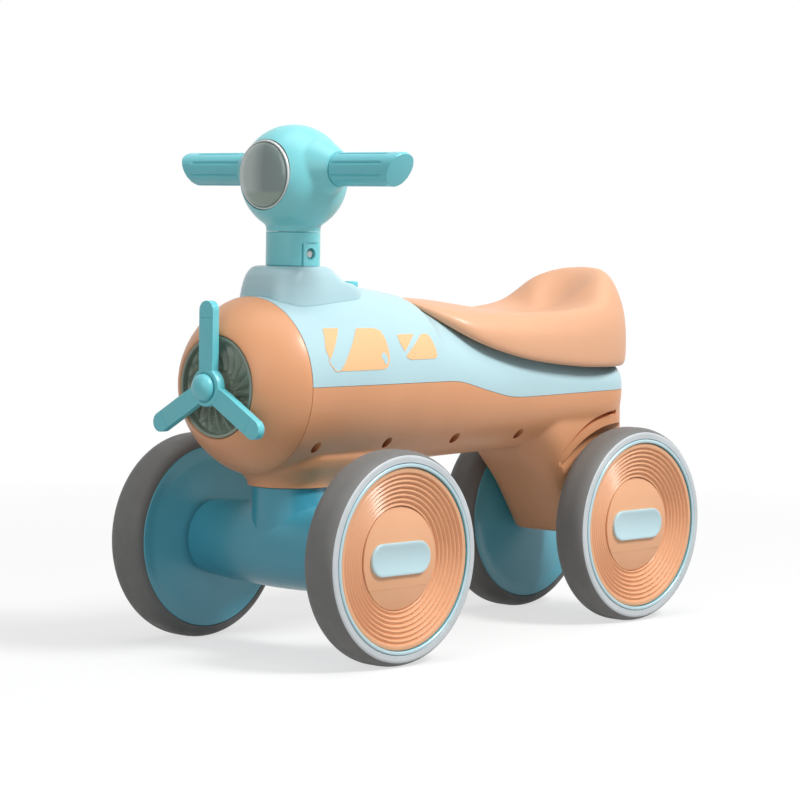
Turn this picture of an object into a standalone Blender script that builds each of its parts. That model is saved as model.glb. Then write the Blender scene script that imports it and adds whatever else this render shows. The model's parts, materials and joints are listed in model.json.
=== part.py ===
"""Toddler balance scooter shaped like a small propeller aeroplane.

The frame has +Z up and the nose towards -Y, so +X is the rider's left. The origin lies on
the floor below the middle of the whole object. Every size is in metres.
"""

import math

import bmesh
import bpy
from mathutils import Euler, Matrix, Vector

# Fits and walls
CLEARANCE = 0.0003
SHELL_WALL = 0.0028

# Wheels
WHEEL_RADIUS = 0.0750
WHEEL_WIDTH = 0.0293
WHEELBASE = 0.3125
FRONT_TRACK = 0.2230
REAR_TRACK = 0.1431
TYRE_FACE_RADIUS = WHEEL_RADIUS - 0.0051
TYRE_BACK_RADIUS = WHEEL_RADIUS - 0.0076
TYRE_SHOULDER = 0.0106
HUB_RADIUS = WHEEL_RADIUS - 0.0088
HUB_WALL = 0.0026
HUB_SLEEVE_RADIUS = 0.0120
HUB_SLEEVE_PROUD = 0.0025
HUB_SLEEVE_LENGTH = 0.0178
CAP_WALL = 0.0026
CAP_RECESS = 0.0045
CAP_PAD_RADIUS = HUB_RADIUS - 0.0312
CAP_RING_RADIUS = HUB_RADIUS - 0.0072
CAP_SKIRT = 0.0080
CAP_STEPS = 2
BADGE_LENGTH = 0.0590
BADGE_HEIGHT = 0.0230
BADGE_THICKNESS = 0.0016

# Fuselage
BODY_AXIS_Z = 0.1905
BODY_RADIUS = 0.0624
BELLY_Z = BODY_AXIS_Z - BODY_RADIUS
RIDGE_Z = BODY_AXIS_Z + BODY_RADIUS + 0.0067
SEAM_AHEAD = 0.0429
TAIL_OVERHANG = 0.0235
TAIL_HALF_WIDTH = BODY_RADIUS - 0.0109
TAIL_LENGTH = 0.0440
TAIL_ROUNDNESS = 0.86
TAIL_TOP_Z = RIDGE_Z - 0.0543
TAIL_BELLY_Z = BELLY_Z + 0.0088
TAIL_MIDDLE_Z = 0.1811
SEAM_FRONT_Z = 0.1920
SEAM_REAR_Z = 0.1781
FLANGE_RADIUS = 0.0300
FLANGE_BOSS_RADIUS = 0.0200
FLANGE_BOSS_TOP_Z = BELLY_Z + 0.0149

# Axles
AXLE_RADIUS = 0.0040
AXLE_HEAD_RADIUS = 0.0070
AXLE_HEAD_THICKNESS = 0.0040
AXLE_THREAD_END = 0.0008

# Steering column and the housing of the front axle
STEER_OFFSET = -0.0020
STEER_TUBE_RADIUS = 0.0110
STEER_TUBE_WALL = 0.0015
STEM_RADIUS = 0.0268
STEM_TOP_Z = BELLY_Z - 0.0098
STEM_CORE_RADIUS = 0.0145
STEM_BORE_FLOOR_Z = WHEEL_RADIUS + 0.0100
BARREL_END_RADIUS = 0.0272
BARREL_MIDDLE_RADIUS = 0.0310
BARREL_WALL = 0.0030
BUSH_RADIUS = 0.0150
BUSH_COLLAR_WALL = 0.0027

# Rear leg and wheel arches
LEG_FOOT_Z = WHEEL_RADIUS - 0.0086
LEG_SIDE_X = 0.0385
LEG_REACH = 0.0479
AXLE_BOSS_RADIUS = 0.0088
ARCH_RADIUS = WHEEL_RADIUS + 0.0050
ARCH_LIP = 0.0050
ARCH_LIP_X = 0.0470
ARCH_FRONT_ANGLE = math.radians(50.0)
ARCH_REAR_ANGLE = math.radians(-1.5)

# Nose
COWL_LENGTH = 0.0330
COWL_LIP_RADIUS = BODY_RADIUS - 0.0258
COWL_SPIGOT = 0.0090
INTAKE_RADIUS = COWL_LIP_RADIUS - 0.0011
INTAKE_RIM = 0.0024
INTAKE_DEPTH = 0.0120
INTAKE_BOSS_RADIUS = 0.0110
VANE_COUNT = 16
VANE_THICKNESS = 0.0016
VANE_TILT = math.radians(28.0)
PROPELLER_SHAFT_RADIUS = 0.0028
PROPELLER_LENGTH = 0.0599
PROPELLER_HUB_RADIUS = 0.0135
PROPELLER_HUB_DEPTH = 0.0077
BLADE_WIDTH = 0.0137
BLADE_THICKNESS = 0.0060
BLADE_COUNT = 3
SPINNER_RADIUS = 0.0095
SPINNER_LENGTH = 0.0077

# Neck housing and column sleeve
NECK_TOP_Z = RIDGE_Z + 0.0145
NECK_HALF_WIDTH = 0.0280
NECK_FRONT = 0.0335
NECK_REAR = 0.0500
COLUMN_RADIUS = 0.0193
COLUMN_TOP_Z = NECK_TOP_Z + 0.0241
COLUMN_PAD_X = 0.0181
COLUMN_PAD_HALF_WIDTH = 0.0074
COLUMN_PAD_TOP_Z = NECK_TOP_Z + 0.0169
COLUMN_SCREW_Z = NECK_TOP_Z + 0.0086

# Lamp head and grips
HEAD_RADIUS = 0.0382
HEAD_Z = COLUMN_TOP_Z + 0.0375
HANDLE_Z = HEAD_Z + 0.0066
HANDLE_TUBE_RADIUS = 0.0080
HANDLE_SPAN = 0.2150
GRIP_RADIUS = 0.0119
GRIP_START_X = 0.0450
GRIP_RIB_COUNT = 8
GRIP_GROOVE = 0.0010
ROOT_RADIUS = 0.0200
LENS_Z = HEAD_Z + 0.0022
LENS_RADIUS = 0.0226
LENS_BULGE = 0.0045
BEZEL_RADIUS = 0.0245
BEZEL_DEPTH = 0.0085
LAMP_RADIUS = 0.0025
LAMP_LENGTH = 0.0050
HEAD_SCREW_Z = HEAD_Z + 0.0245

# Saddle
SADDLE_TIP = 0.2145
SADDLE_TAIL = 0.0336
SADDLE_HALF_WIDTH = BODY_RADIUS - 0.0014
SADDLE_BACK_Z = RIDGE_Z + 0.0136
SADDLE_DISH_Z = RIDGE_Z - 0.0206
SADDLE_DISH = 0.0499
SADDLE_EDGE_Z = 0.1962
SADDLE_WALL = 0.0030
SADDLE_BOSS_RADIUS = 0.0055
# Distance ahead of the rear axle, and height of the boss above the middle of the dish
SADDLE_SCREWS = {"saddle_screw_front": (0.1480, 0.0035), "saddle_screw_rear": (0.0395, -0.0012)}

# Small screws
SCREW_RADIUS = 0.0016
SCREW_HEAD_RADIUS = 0.0034
SCREW_HEAD_THICKNESS = 0.0022
SCREW_RECESS_RADIUS = 0.0040
SCREW_BOSS_RADIUS = 0.0055
SHELL_SCREW_Z = BELLY_Z + 0.0209
SHELL_SCREW_FIRST = -0.0231
SHELL_SCREW_PITCH = 0.0739
SHELL_SCREW_COUNT = 4
SHELL_SCREW_REACH = 0.0140

# Music box
BUTTON_BEHIND = 0.0578
BUTTON_RADIUS = 0.0050
BUTTON_PROUD = 0.0035
BUTTON_FLANGE_RADIUS = 0.0072
BUTTON_FLANGE_THICKNESS = 0.0015
BUTTON_STEM_RADIUS = 0.0025
BUTTON_TRAVEL = 0.0015
SPRING_RADIUS = 0.0044
SPRING_WIRE_RADIUS = 0.00035
SPRING_TURNS = 4
BOARD_TOP_Z = RIDGE_Z - 0.0161
BOARD_THICKNESS = 0.0016
BOARD_HALF_WIDTH = 0.0180
BOARD_HALF_LENGTH = 0.0200
BOARD_POST_RADIUS = 0.0030
SWITCH_HEIGHT = 0.0035
CELL_RADIUS = 0.0071
CELL_LENGTH = 0.0500
CELL_Z = BELLY_Z + 0.0142
BATTERY_BEHIND = 0.0894
BATTERY_WALL = 0.0015
BATTERY_FLANGE_Z = BELLY_Z + 0.0144
DOOR_HALF_WIDTH = 0.0240
DOOR_MARGIN = 0.0035
SPEAKER_BEHIND = 0.1558
SPEAKER_RADIUS = 0.0160
SPEAKER_DEPTH = 0.0120
SPEAKER_SEAT_Z = BELLY_Z + 0.0129
SOUND_HOLE_RADIUS = 0.0018
SOUND_HOLE_PITCH = 0.0065

# Facets
WHEEL_STEPS = 24
BODY_STEPS = 24
ROUND_STEPS = 20
SMALL_STEPS = 8
ARCH_STEPS = 32

# Places worked out from the sizes above
PROPELLER_GAP = 0.0028
COWL_FRONT_AHEAD = SEAM_AHEAD + COWL_LENGTH
HUB_BACK_AHEAD = COWL_FRONT_AHEAD + PROPELLER_GAP + CLEARANCE
HUB_FRONT_AHEAD = HUB_BACK_AHEAD + PROPELLER_HUB_DEPTH
SPINNER_FRONT_AHEAD = HUB_FRONT_AHEAD + CLEARANCE + SPINNER_LENGTH
FRONT_AXLE_Y = (SPINNER_FRONT_AHEAD - WHEELBASE - WHEEL_RADIUS) / 2.0
REAR_AXLE_Y = FRONT_AXLE_Y + WHEELBASE
STEER_Y = FRONT_AXLE_Y + STEER_OFFSET
SEAM_Y = FRONT_AXLE_Y - SEAM_AHEAD
TAIL_Y = REAR_AXLE_Y + TAIL_OVERHANG
FRONT_WHEEL_X = FRONT_TRACK / 2.0 - WHEEL_WIDTH
REAR_WHEEL_X = REAR_TRACK / 2.0 - WHEEL_WIDTH
BARREL_END_X = FRONT_WHEEL_X - HUB_SLEEVE_PROUD - CLEARANCE
AXLE_BOSS_X = REAR_WHEEL_X - HUB_SLEEVE_PROUD - CLEARANCE
FLANGE_BOTTOM_Z = STEM_TOP_Z + CLEARANCE
SADDLE_TIP_Y = REAR_AXLE_Y - SADDLE_TIP
BUTTON_Y = FRONT_AXLE_Y + BUTTON_BEHIND
BATTERY_Y = FRONT_AXLE_Y + BATTERY_BEHIND
SPEAKER_Y = FRONT_AXLE_Y + SPEAKER_BEHIND

# Colour, roughness and metallic value of each finish
FINISHES = {
    "light_blue": ((0.34, 0.70, 0.76, 1.0), 0.42, 0.0),
    "axle_blue": ((0.20, 0.52, 0.64, 1.0), 0.42, 0.0),
    "orange": ((0.82, 0.42, 0.20, 1.0), 0.45, 0.0),
    "tyre_grey": ((0.24, 0.23, 0.23, 1.0), 0.70, 0.0),
    "intake_beige": ((0.48, 0.50, 0.44, 1.0), 0.50, 0.0),
    "lens_white": ((0.62, 0.64, 0.60, 1.0), 0.25, 0.0),
    "white": ((0.85, 0.85, 0.85, 1.0), 0.40, 0.0),
    "steel": ((0.60, 0.60, 0.62, 1.0), 0.30, 1.0),
    "black": ((0.03, 0.03, 0.03, 1.0), 0.55, 0.0),
    "board_green": ((0.05, 0.25, 0.12, 1.0), 0.50, 0.0),
}

AXIS_TURNS = {
    "Z": (0.0, 0.0, 0.0),
    "+X": (0.0, math.pi / 2.0, 0.0),
    "-X": (0.0, -math.pi / 2.0, 0.0),
    "Y": (-math.pi / 2.0, 0.0, 0.0),
}

PARTS = bpy.data.collections.new("toddler_balance_scooter")
CUTTERS = bpy.data.collections.new("cutters")


def clear_scene():
    """Remove the default objects and link the two collections."""
    for obj in list(bpy.data.objects):
        bpy.data.objects.remove(obj, do_unlink=True)
    for collection in (PARTS, CUTTERS):
        bpy.context.scene.collection.children.link(collection)


def add_object(name, mesh, collection=CUTTERS):
    """Link a mesh as an object; cutters are kept out of the render."""
    obj = bpy.data.objects.new(name, mesh)
    collection.objects.link(obj)
    if collection is CUTTERS:
        obj.hide_render = True
        obj.display_type = "WIRE"
    return obj


def mesh_from(bm, name):
    """Turn a bmesh into a mesh with its faces pointing out."""
    bmesh.ops.recalc_face_normals(bm, faces=bm.faces)
    mesh = bpy.data.meshes.new(name)
    bm.to_mesh(mesh)
    bm.free()
    return mesh


def evaluated_mesh(obj):
    """Copy an object's mesh as its modifiers leave it, in world coordinates."""
    bpy.context.view_layer.update()
    depsgraph = bpy.context.evaluated_depsgraph_get()
    mesh = bpy.data.meshes.new_from_object(obj.evaluated_get(depsgraph))
    mesh.transform(obj.matrix_world)
    return mesh


def part(obj, finish, parent=None):
    """Move an object into the parts collection, give it its finish and its parent."""
    if obj.name in CUTTERS.objects:
        CUTTERS.objects.unlink(obj)
        PARTS.objects.link(obj)
        obj.hide_render = False
        obj.display_type = "TEXTURED"
    color, roughness, metallic = FINISHES[finish]
    material = bpy.data.materials.new(obj.name + "_" + finish)
    material.use_nodes = True
    shader = material.node_tree.nodes["Principled BSDF"]
    shader.inputs["Base Color"].default_value = color
    shader.inputs["Roughness"].default_value = roughness
    shader.inputs["Metallic"].default_value = metallic
    obj.data.materials.clear()
    obj.data.materials.append(material)
    if obj.data.polygons:
        obj.data.shade_smooth()
        obj.data.set_sharp_from_angle(angle=math.radians(35.0))
    if parent is not None:
        obj.parent = parent
        obj.matrix_parent_inverse = parent.matrix_world.inverted()
    return obj


def pivot(name, place, parent=None):
    """Add an empty on a joint's axis."""
    empty = bpy.data.objects.new(name, None)
    empty.empty_display_size = 0.02
    empty.location = place
    PARTS.objects.link(empty)
    if parent is not None:
        empty.parent = parent
        empty.matrix_parent_inverse = parent.matrix_world.inverted()
    bpy.context.view_layer.update()
    return empty


def combine(target, tool, operation="DIFFERENCE"):
    """Put a Boolean modifier on the target."""
    modifier = target.modifiers.new(operation.lower() + "_" + tool.name, "BOOLEAN")
    modifier.operation = operation
    modifier.object = tool
    modifier.solver = "EXACT"
    return target


def box(name, low, high):
    """Box between two corners."""
    bm = bmesh.new()
    bmesh.ops.create_cube(bm, size=1.0)
    for vert in bm.verts:
        vert.co = Vector([low[i] + (vert.co[i] + 0.5) * (high[i] - low[i]) for i in range(3)])
    return add_object(name, mesh_from(bm, name))


def rod(name, radius, start, end, steps=SMALL_STEPS):
    """Round bar between two points, turned so that no corner lies on a plane of symmetry."""
    start = Vector(start)
    end = Vector(end)
    bm = bmesh.new()
    bmesh.ops.create_cone(
        bm, cap_ends=True, segments=steps, radius1=radius, radius2=radius, depth=(end - start).length
    )
    turn = (end - start).to_track_quat("Z", "Y").to_matrix().to_4x4()
    turn.translation = (start + end) / 2.0
    turn = turn @ Matrix.Rotation(math.pi / (2.0 * steps), 4, "Z")
    bmesh.ops.transform(bm, matrix=turn, verts=bm.verts)
    return add_object(name, mesh_from(bm, name))


def loft(name, rings):
    """Closed solid through rings of equal point counts."""
    bm = bmesh.new()
    rows = [[bm.verts.new(point) for point in ring] for ring in rings]
    count = len(rows[0])
    for lower, upper in zip(rows, rows[1:]):
        for i in range(count):
            j = (i + 1) % count
            bm.faces.new((lower[i], lower[j], upper[j], upper[i]))
    bm.faces.new(rows[0][::-1])
    bm.faces.new(rows[-1])
    return add_object(name, mesh_from(bm, name))


def plate(name, outline, axis, low, high):
    """Flat outline extruded along X or Z between two heights."""
    bm = bmesh.new()
    if axis == "X":
        corners = [bm.verts.new((low, a, b)) for a, b in outline]
        step = Vector((high - low, 0.0, 0.0))
    else:
        corners = [bm.verts.new((a, b, low)) for a, b in outline]
        step = Vector((0.0, 0.0, high - low))
    face = bm.faces.new(corners)
    moved = bmesh.ops.extrude_face_region(bm, geom=[face])["geom"]
    bmesh.ops.translate(bm, vec=step, verts=[g for g in moved if isinstance(g, bmesh.types.BMVert)])
    return add_object(name, mesh_from(bm, name))


def loop_area(profile):
    """Signed area of a profile, closed through its ends."""
    pairs = zip(profile, profile[1:] + profile[:1])
    return sum(a[0] * b[1] - b[0] * a[1] for a, b in pairs) / 2.0


def turned(name, profile, place, axis="Z", steps=ROUND_STEPS, flats=False):
    """Turn a profile of (radius, height) points about an axis through a place.

    A profile that ends on the axis stays open there; any other is a closed ring. With
    flats the sides, not the corners, have the profile's radius, and a side faces local X.
    """
    if loop_area(profile) > 0.0:
        profile = profile[::-1]
    on_axis = min(r for r, h in profile) < 1e-9
    if on_axis:
        while profile[0][0] > 1e-9 or profile[-1][0] > 1e-9:
            profile = profile[1:] + profile[:1]
    start = math.pi / steps if flats else 0.0
    grow = 1.0 / math.cos(start)
    points = [(r * grow * math.cos(start), r * grow * math.sin(start), h) for r, h in profile]
    edges = [(i, i + 1) for i in range(len(points) - 1)]
    if not on_axis:
        edges.append((len(points) - 1, 0))
    mesh = bpy.data.meshes.new(name)
    mesh.from_pydata(points, edges, [])
    obj = add_object(name, mesh)
    screw = obj.modifiers.new("Turn", "SCREW")
    screw.steps = steps
    screw.render_steps = steps
    screw.use_merge_vertices = True
    screw.merge_threshold = 0.00005
    obj.rotation_euler = AXIS_TURNS[axis]
    obj.location = place
    return obj


def spread(start, end, count):
    """Evenly spaced numbers from start to end."""
    return [start + (end - start) * i / (count - 1) for i in range(count)]


def arc(centre, radius, start, end, count):
    """Points of an arc as pairs."""
    return [
        (centre[0] + radius * math.cos(a), centre[1] + radius * math.sin(a))
        for a in spread(start, end, count)
    ]


def curve_through(rows, steps):
    """Catmull-Rom rows through the given rows of numbers, with steps rows a span."""
    padded = [rows[0]] + list(rows) + [rows[-1]]
    result = []
    for a, b, c, d in zip(padded, padded[1:], padded[2:], padded[3:]):
        for k in range(steps):
            t = k / steps
            result.append(
                tuple(
                    0.5
                    * (
                        2.0 * q
                        + (r - p) * t
                        + (2.0 * p - 5.0 * q + 4.0 * r - s) * t * t
                        + (3.0 * q - p - 3.0 * r + s) * t * t * t
                    )
                    for p, q, r, s in zip(a, b, c, d)
                )
            )
    result.append(tuple(rows[-1]))
    return result


def oval(y, half_width, top, bottom, middle, power):
    """Upright superellipse section of the fuselage."""
    ring = []
    for i in range(BODY_STEPS):
        angle = 2.0 * math.pi * i / BODY_STEPS
        across = math.copysign(abs(math.cos(angle)) ** (2.0 / power), math.cos(angle))
        up = math.copysign(abs(math.sin(angle)) ** (2.0 / power), math.sin(angle))
        reach = top - middle if up > 0.0 else middle - bottom
        ring.append((half_width * across, y, middle + reach * up))
    return ring


def rounded_rectangle(z, half_width, front, rear, corner, steps=4):
    """Level ring with four round corners, from front to rear along Y."""
    ring = []
    corners = (
        (half_width - corner, rear - corner, 0.0),
        (-half_width + corner, rear - corner, 0.5 * math.pi),
        (-half_width + corner, front + corner, math.pi),
        (half_width - corner, front + corner, 1.5 * math.pi),
    )
    for x, y, start in corners:
        ring += [(a, b, z) for a, b in arc((x, y), corner, start, start + 0.5 * math.pi, steps)]
    return ring


def fuselage(name, inset, nose=0.0):
    """Body of the aeroplane, moved inwards by inset; nose lengthens its open front."""
    tail_start = TAIL_Y - TAIL_LENGTH
    round_top = BODY_AXIS_Z + BODY_RADIUS
    tip = SADDLE_TIP_Y
    # y, half width, top, bottom, height of the widest place, squareness
    stations = [
        (SEAM_Y, BODY_RADIUS, round_top, BELLY_Z, BODY_AXIS_Z, 2.0),
        (SEAM_Y + 0.034, BODY_RADIUS - 0.0002, RIDGE_Z - 0.0050, BELLY_Z, BODY_AXIS_Z, 2.0),
        (STEER_Y + 0.035, BODY_RADIUS - 0.0008, RIDGE_Z - 0.0008, BELLY_Z + 0.0004, BODY_AXIS_Z, 2.0),
        (STEER_Y + 0.054, BODY_RADIUS - 0.0016, RIDGE_Z - 0.0001, BELLY_Z + 0.0012, BODY_AXIS_Z, 2.0),
        (
            tip - 0.015,
            BODY_RADIUS - 0.0026,
            RIDGE_Z - 0.0042,
            BELLY_Z + 0.0020,
            BODY_AXIS_Z - 0.0005,
            2.05,
        ),
        (
            tip - 0.002,
            BODY_RADIUS - 0.0032,
            RIDGE_Z - 0.0068,
            BELLY_Z + 0.0025,
            BODY_AXIS_Z - 0.001,
            2.05,
        ),
        (
            tip + 0.006,
            BODY_RADIUS - 0.0035,
            RIDGE_Z - 0.0120,
            BELLY_Z + 0.0027,
            BODY_AXIS_Z - 0.001,
            2.05,
        ),
        (
            tip + 0.022,
            BODY_RADIUS - 0.0041,
            RIDGE_Z - 0.0170,
            BELLY_Z + 0.0032,
            BODY_AXIS_Z - 0.002,
            2.1,
        ),
        (
            tip + 0.055,
            BODY_RADIUS - 0.0053,
            RIDGE_Z - 0.0255,
            BELLY_Z + 0.0044,
            BODY_AXIS_Z - 0.0045,
            2.15,
        ),
        (
            tip + 0.105,
            TAIL_HALF_WIDTH + 0.0025,
            TAIL_TOP_Z + 0.0180,
            TAIL_BELLY_Z - 0.0030,
            TAIL_MIDDLE_Z + 0.0025,
            2.25,
        ),
        (
            tail_start - 0.040,
            TAIL_HALF_WIDTH + 0.0010,
            TAIL_TOP_Z + 0.0060,
            TAIL_BELLY_Z,
            TAIL_MIDDLE_Z + 0.001,
            2.4,
        ),
        (tail_start, TAIL_HALF_WIDTH, TAIL_TOP_Z, TAIL_BELLY_Z, TAIL_MIDDLE_Z, 2.5),
    ]
    sections = curve_through(stations, 1)
    rings = []
    if nose > 0.0:
        y, half_width, top, bottom, middle, power = sections[0]
        rings.append(oval(y - nose, half_width - inset, top - inset, bottom + inset, middle, power))
    for y, half_width, top, bottom, middle, power in sections:
        rings.append(oval(y, half_width - inset, top - inset, bottom + inset, middle, power))
    y, half_width, top, bottom, middle, power = sections[-1]
    for degrees in (20.0, 38.0, 54.0, 68.0, 79.0, 86.0):
        angle = math.radians(degrees)
        shrink = math.cos(angle) ** TAIL_ROUNDNESS
        reach = math.sin(angle) ** TAIL_ROUNDNESS * (TAIL_LENGTH - inset)
        height = 0.6 + 0.4 * shrink
        rings.append(
            oval(
                y + reach,
                (half_width - inset) * shrink,
                middle + (top - inset - middle) * height,
                middle - (middle - bottom - inset) * height,
                middle,
                power,
            )
        )
    return loft(name, rings)


def leg(name, inset):
    """Rear leg that carries the rear axle, moved inwards by inset."""
    # share of the height, front and rear from the axle, half width, corner radius
    rise = BELLY_Z + LEG_REACH - LEG_FOOT_Z
    shape = [
        (0.0, -0.0300, 0.0205, 0.0352, 0.0110),
        (0.0274, -0.0333, 0.0218, 0.0366, 0.0130),
        (0.1971, -0.0462, 0.0228, 0.0372, 0.0155),
        (0.3796, -0.0620, 0.0236, 0.0384, 0.0200),
        (0.5529, -0.0805, 0.0239, 0.0420, 0.0270),
        (0.7172, -0.0950, 0.0220, 0.0455, 0.0300),
        (0.8631, -0.1035, 0.0216, 0.0468, 0.0320),
        (1.0, -0.1080, 0.0212, 0.0470, 0.0335),
    ]
    sections = [(LEG_FOOT_Z + rise * share, *form) for share, *form in shape]
    rings = []
    for i, (z, front, rear, half_width, corner) in enumerate(sections):
        level = z + inset if i == 0 else max(z, sections[0][0] + inset + 0.0005 * i)
        rings.append(
            rounded_rectangle(
                level,
                half_width - inset,
                REAR_AXLE_Y + front + inset,
                REAR_AXLE_Y + rear - inset,
                max(corner - inset, 0.004),
            )
        )
    return loft(name, rings)


def arches(name, inset):
    """The two cylinders that clear the rear wheels."""
    result = []
    for side in (1.0, -1.0):
        result.append(
            rod(
                name + ("_left" if side > 0.0 else "_right"),
                ARCH_RADIUS + inset,
                (side * (LEG_SIDE_X - inset), REAR_AXLE_Y, WHEEL_RADIUS),
                (side * 2.0 * TAIL_HALF_WIDTH, REAR_AXLE_Y, WHEEL_RADIUS),
                ARCH_STEPS,
            )
        )
    return result


def arch_lip():
    """Raised lip that follows both wheel arches."""
    centre = (REAR_AXLE_Y, WHEEL_RADIUS)
    first = 0.5 * math.pi + ARCH_FRONT_ANGLE
    last = 0.5 * math.pi - ARCH_REAR_ANGLE
    outline = arc(centre, ARCH_RADIUS + ARCH_LIP, first, last, 9)
    outline += arc(centre, ARCH_RADIUS - CLEARANCE, last, first, 9)
    return plate("arch_lip", outline, "X", -ARCH_LIP_X, ARCH_LIP_X)


def seam_outline(gap):
    """Side view of all that lies below the seam, lowered by half the gap."""
    drop = gap / 2.0
    middle = SADDLE_TIP_Y + 0.045
    slope = curve_through(
        [
            (middle - 0.050, SEAM_FRONT_Z),
            (middle - 0.028, SEAM_FRONT_Z - 0.0010),
            (middle + 0.005, SEAM_REAR_Z + 0.0052),
            (middle + 0.035, SEAM_REAR_Z - 0.0002),
            (middle + 0.075, SEAM_REAR_Z - 0.0004),
        ],
        3,
    )
    front = SEAM_Y - 0.010
    rear = TAIL_Y + 0.010
    top = [(front, SEAM_FRONT_Z)] + slope + [(rear, SEAM_REAR_Z + 0.0016)]
    return [(y, z - drop) for y, z in top] + [(rear, 0.0), (front, 0.0)]


def screw_places():
    """Y of each screw that joins the two lower shells."""
    first = FRONT_AXLE_Y + SHELL_SCREW_FIRST
    return [first + SHELL_SCREW_PITCH * i for i in range(SHELL_SCREW_COUNT)]


def body_outer():
    """Outside of the whole body: fuselage, leg, arch lips and the steering flange."""
    outer = fuselage("body_outer", 0.0)
    combine(outer, leg("leg_outer", 0.0), "UNION")
    combine(outer, arch_lip(), "UNION")
    for tool in arches("arch_outer", 0.0):
        combine(outer, tool)
    boss = rod(
        "axle_boss",
        AXLE_BOSS_RADIUS,
        (-AXLE_BOSS_X, REAR_AXLE_Y, WHEEL_RADIUS),
        (AXLE_BOSS_X, REAR_AXLE_Y, WHEEL_RADIUS),
        ROUND_STEPS,
    )
    combine(outer, boss, "UNION")
    flange = rod(
        "steering_flange",
        FLANGE_RADIUS,
        (0.0, STEER_Y, FLANGE_BOTTOM_Z),
        (0.0, STEER_Y, BELLY_Z + 0.010),
        BODY_STEPS,
    )
    combine(outer, flange, "UNION")
    return outer


def body_cavity():
    """Hollow of the body, less the bosses and ribs that stand in it."""
    cavity = fuselage("body_cavity", SHELL_WALL, nose=0.002)
    combine(cavity, leg("leg_cavity", SHELL_WALL), "UNION")
    for tool in arches("arch_cavity", SHELL_WALL):
        combine(cavity, tool)
    ribs = [
        rod(
            "axle_sleeve",
            AXLE_BOSS_RADIUS + 0.001,
            (-AXLE_BOSS_X, REAR_AXLE_Y, WHEEL_RADIUS),
            (AXLE_BOSS_X, REAR_AXLE_Y, WHEEL_RADIUS),
            ROUND_STEPS,
        ),
        rod(
            "flange_boss",
            FLANGE_BOSS_RADIUS,
            (0.0, STEER_Y, FLANGE_BOTTOM_Z - 0.001),
            (0.0, STEER_Y, FLANGE_BOSS_TOP_Z),
            ROUND_STEPS,
        ),
        turned(
            "speaker_seat",
            [
                (SPEAKER_RADIUS, BELLY_Z),
                (SPEAKER_RADIUS, SPEAKER_SEAT_Z),
                (SPEAKER_RADIUS - 0.003, SPEAKER_SEAT_Z),
                (SPEAKER_RADIUS - 0.003, BELLY_Z),
            ],
            (0.0, SPEAKER_Y, 0.0),
            flats=True,
        ),
    ]
    for i, y in enumerate(screw_places()):
        start = (-BODY_RADIUS, y, SHELL_SCREW_Z)
        end = (BODY_RADIUS, y, SHELL_SCREW_Z)
        ribs.append(rod("screw_boss_%d" % (i + 1), SCREW_BOSS_RADIUS, start, end))
    for side in (1.0, -1.0):
        for step in (1.0, -1.0):
            x = side * (BOARD_HALF_WIDTH - 0.004)
            y = BUTTON_Y + step * (BOARD_HALF_LENGTH - 0.004)
            ribs.append(
                rod(
                    "board_post",
                    BOARD_POST_RADIUS,
                    (x, y, BOARD_TOP_Z + CLEARANCE),
                    (x, y, RIDGE_Z + 0.005),
                )
            )
    for rib in ribs:
        combine(cavity, rib)
    return cavity


def body_shell():
    """Whole hollow body as one mesh, before it is split into its three shells."""
    outer = body_outer()
    combine(outer, body_cavity())
    return evaluated_mesh(outer)


def build_lower_shells(shell_mesh):
    """Two halves of the orange lower shell, split at the middle."""
    below = plate("below_seam", seam_outline(CLEARANCE), "X", -0.2, 0.2)
    reach = 0.2
    door = door_region("door_opening", DOOR_MARGIN)
    bush = rod(
        "lower_bush_bore",
        BUSH_RADIUS + CLEARANCE,
        (0.0, STEER_Y, FLANGE_BOTTOM_Z - 0.01),
        (0.0, STEER_Y, FLANGE_BOSS_TOP_Z + 0.01),
        ROUND_STEPS,
    )
    axle = rod(
        "rear_axle_bore",
        AXLE_RADIUS + CLEARANCE,
        (-reach, REAR_AXLE_Y, WHEEL_RADIUS),
        (reach, REAR_AXLE_Y, WHEEL_RADIUS),
    )
    holes = sound_holes()
    for side, name in ((1.0, "lower_shell_left"), (-1.0, "lower_shell_right")):
        shell = add_object(name, shell_mesh.copy())
        combine(shell, below, "INTERSECT")
        low_x, high_x = sorted((side * CLEARANCE / 2.0, side * reach))
        half = box(name + "_half", (low_x, -1.0, 0.0), (high_x, 1.0, 1.0))
        combine(shell, half, "INTERSECT")
        own_holes = holes[:3] if side > 0.0 else holes[3:]
        for tool in [door, bush, axle] + own_holes:
            combine(shell, tool)
        for i, y in enumerate(screw_places()):
            tag = "%s_hole_%d" % (name, i + 1)
            if side > 0.0:
                recess_start = SHELL_SCREW_REACH
                combine(
                    shell,
                    rod(
                        tag + "_head",
                        SCREW_RECESS_RADIUS,
                        (recess_start, y, SHELL_SCREW_Z),
                        (reach, y, SHELL_SCREW_Z),
                        16,
                    ),
                )
                combine(
                    shell,
                    rod(
                        tag,
                        SCREW_RADIUS + CLEARANCE,
                        (-0.001, y, SHELL_SCREW_Z),
                        (recess_start + 0.001, y, SHELL_SCREW_Z),
                    ),
                )
            else:
                depth = SHELL_SCREW_REACH + 2.0 * CLEARANCE
                combine(
                    shell,
                    rod(
                        tag,
                        SCREW_RADIUS + CLEARANCE,
                        (-depth, y, SHELL_SCREW_Z),
                        (0.001, y, SHELL_SCREW_Z),
                    ),
                )
        part(shell, "orange")
    for i, y in enumerate(screw_places()):
        head_x = SHELL_SCREW_REACH + CLEARANCE
        build_screw(
            "shell_screw_%d" % (i + 1),
            (head_x, y, SHELL_SCREW_Z),
            (-1.0, 0.0, 0.0),
            head_x + SHELL_SCREW_REACH,
        )


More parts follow.
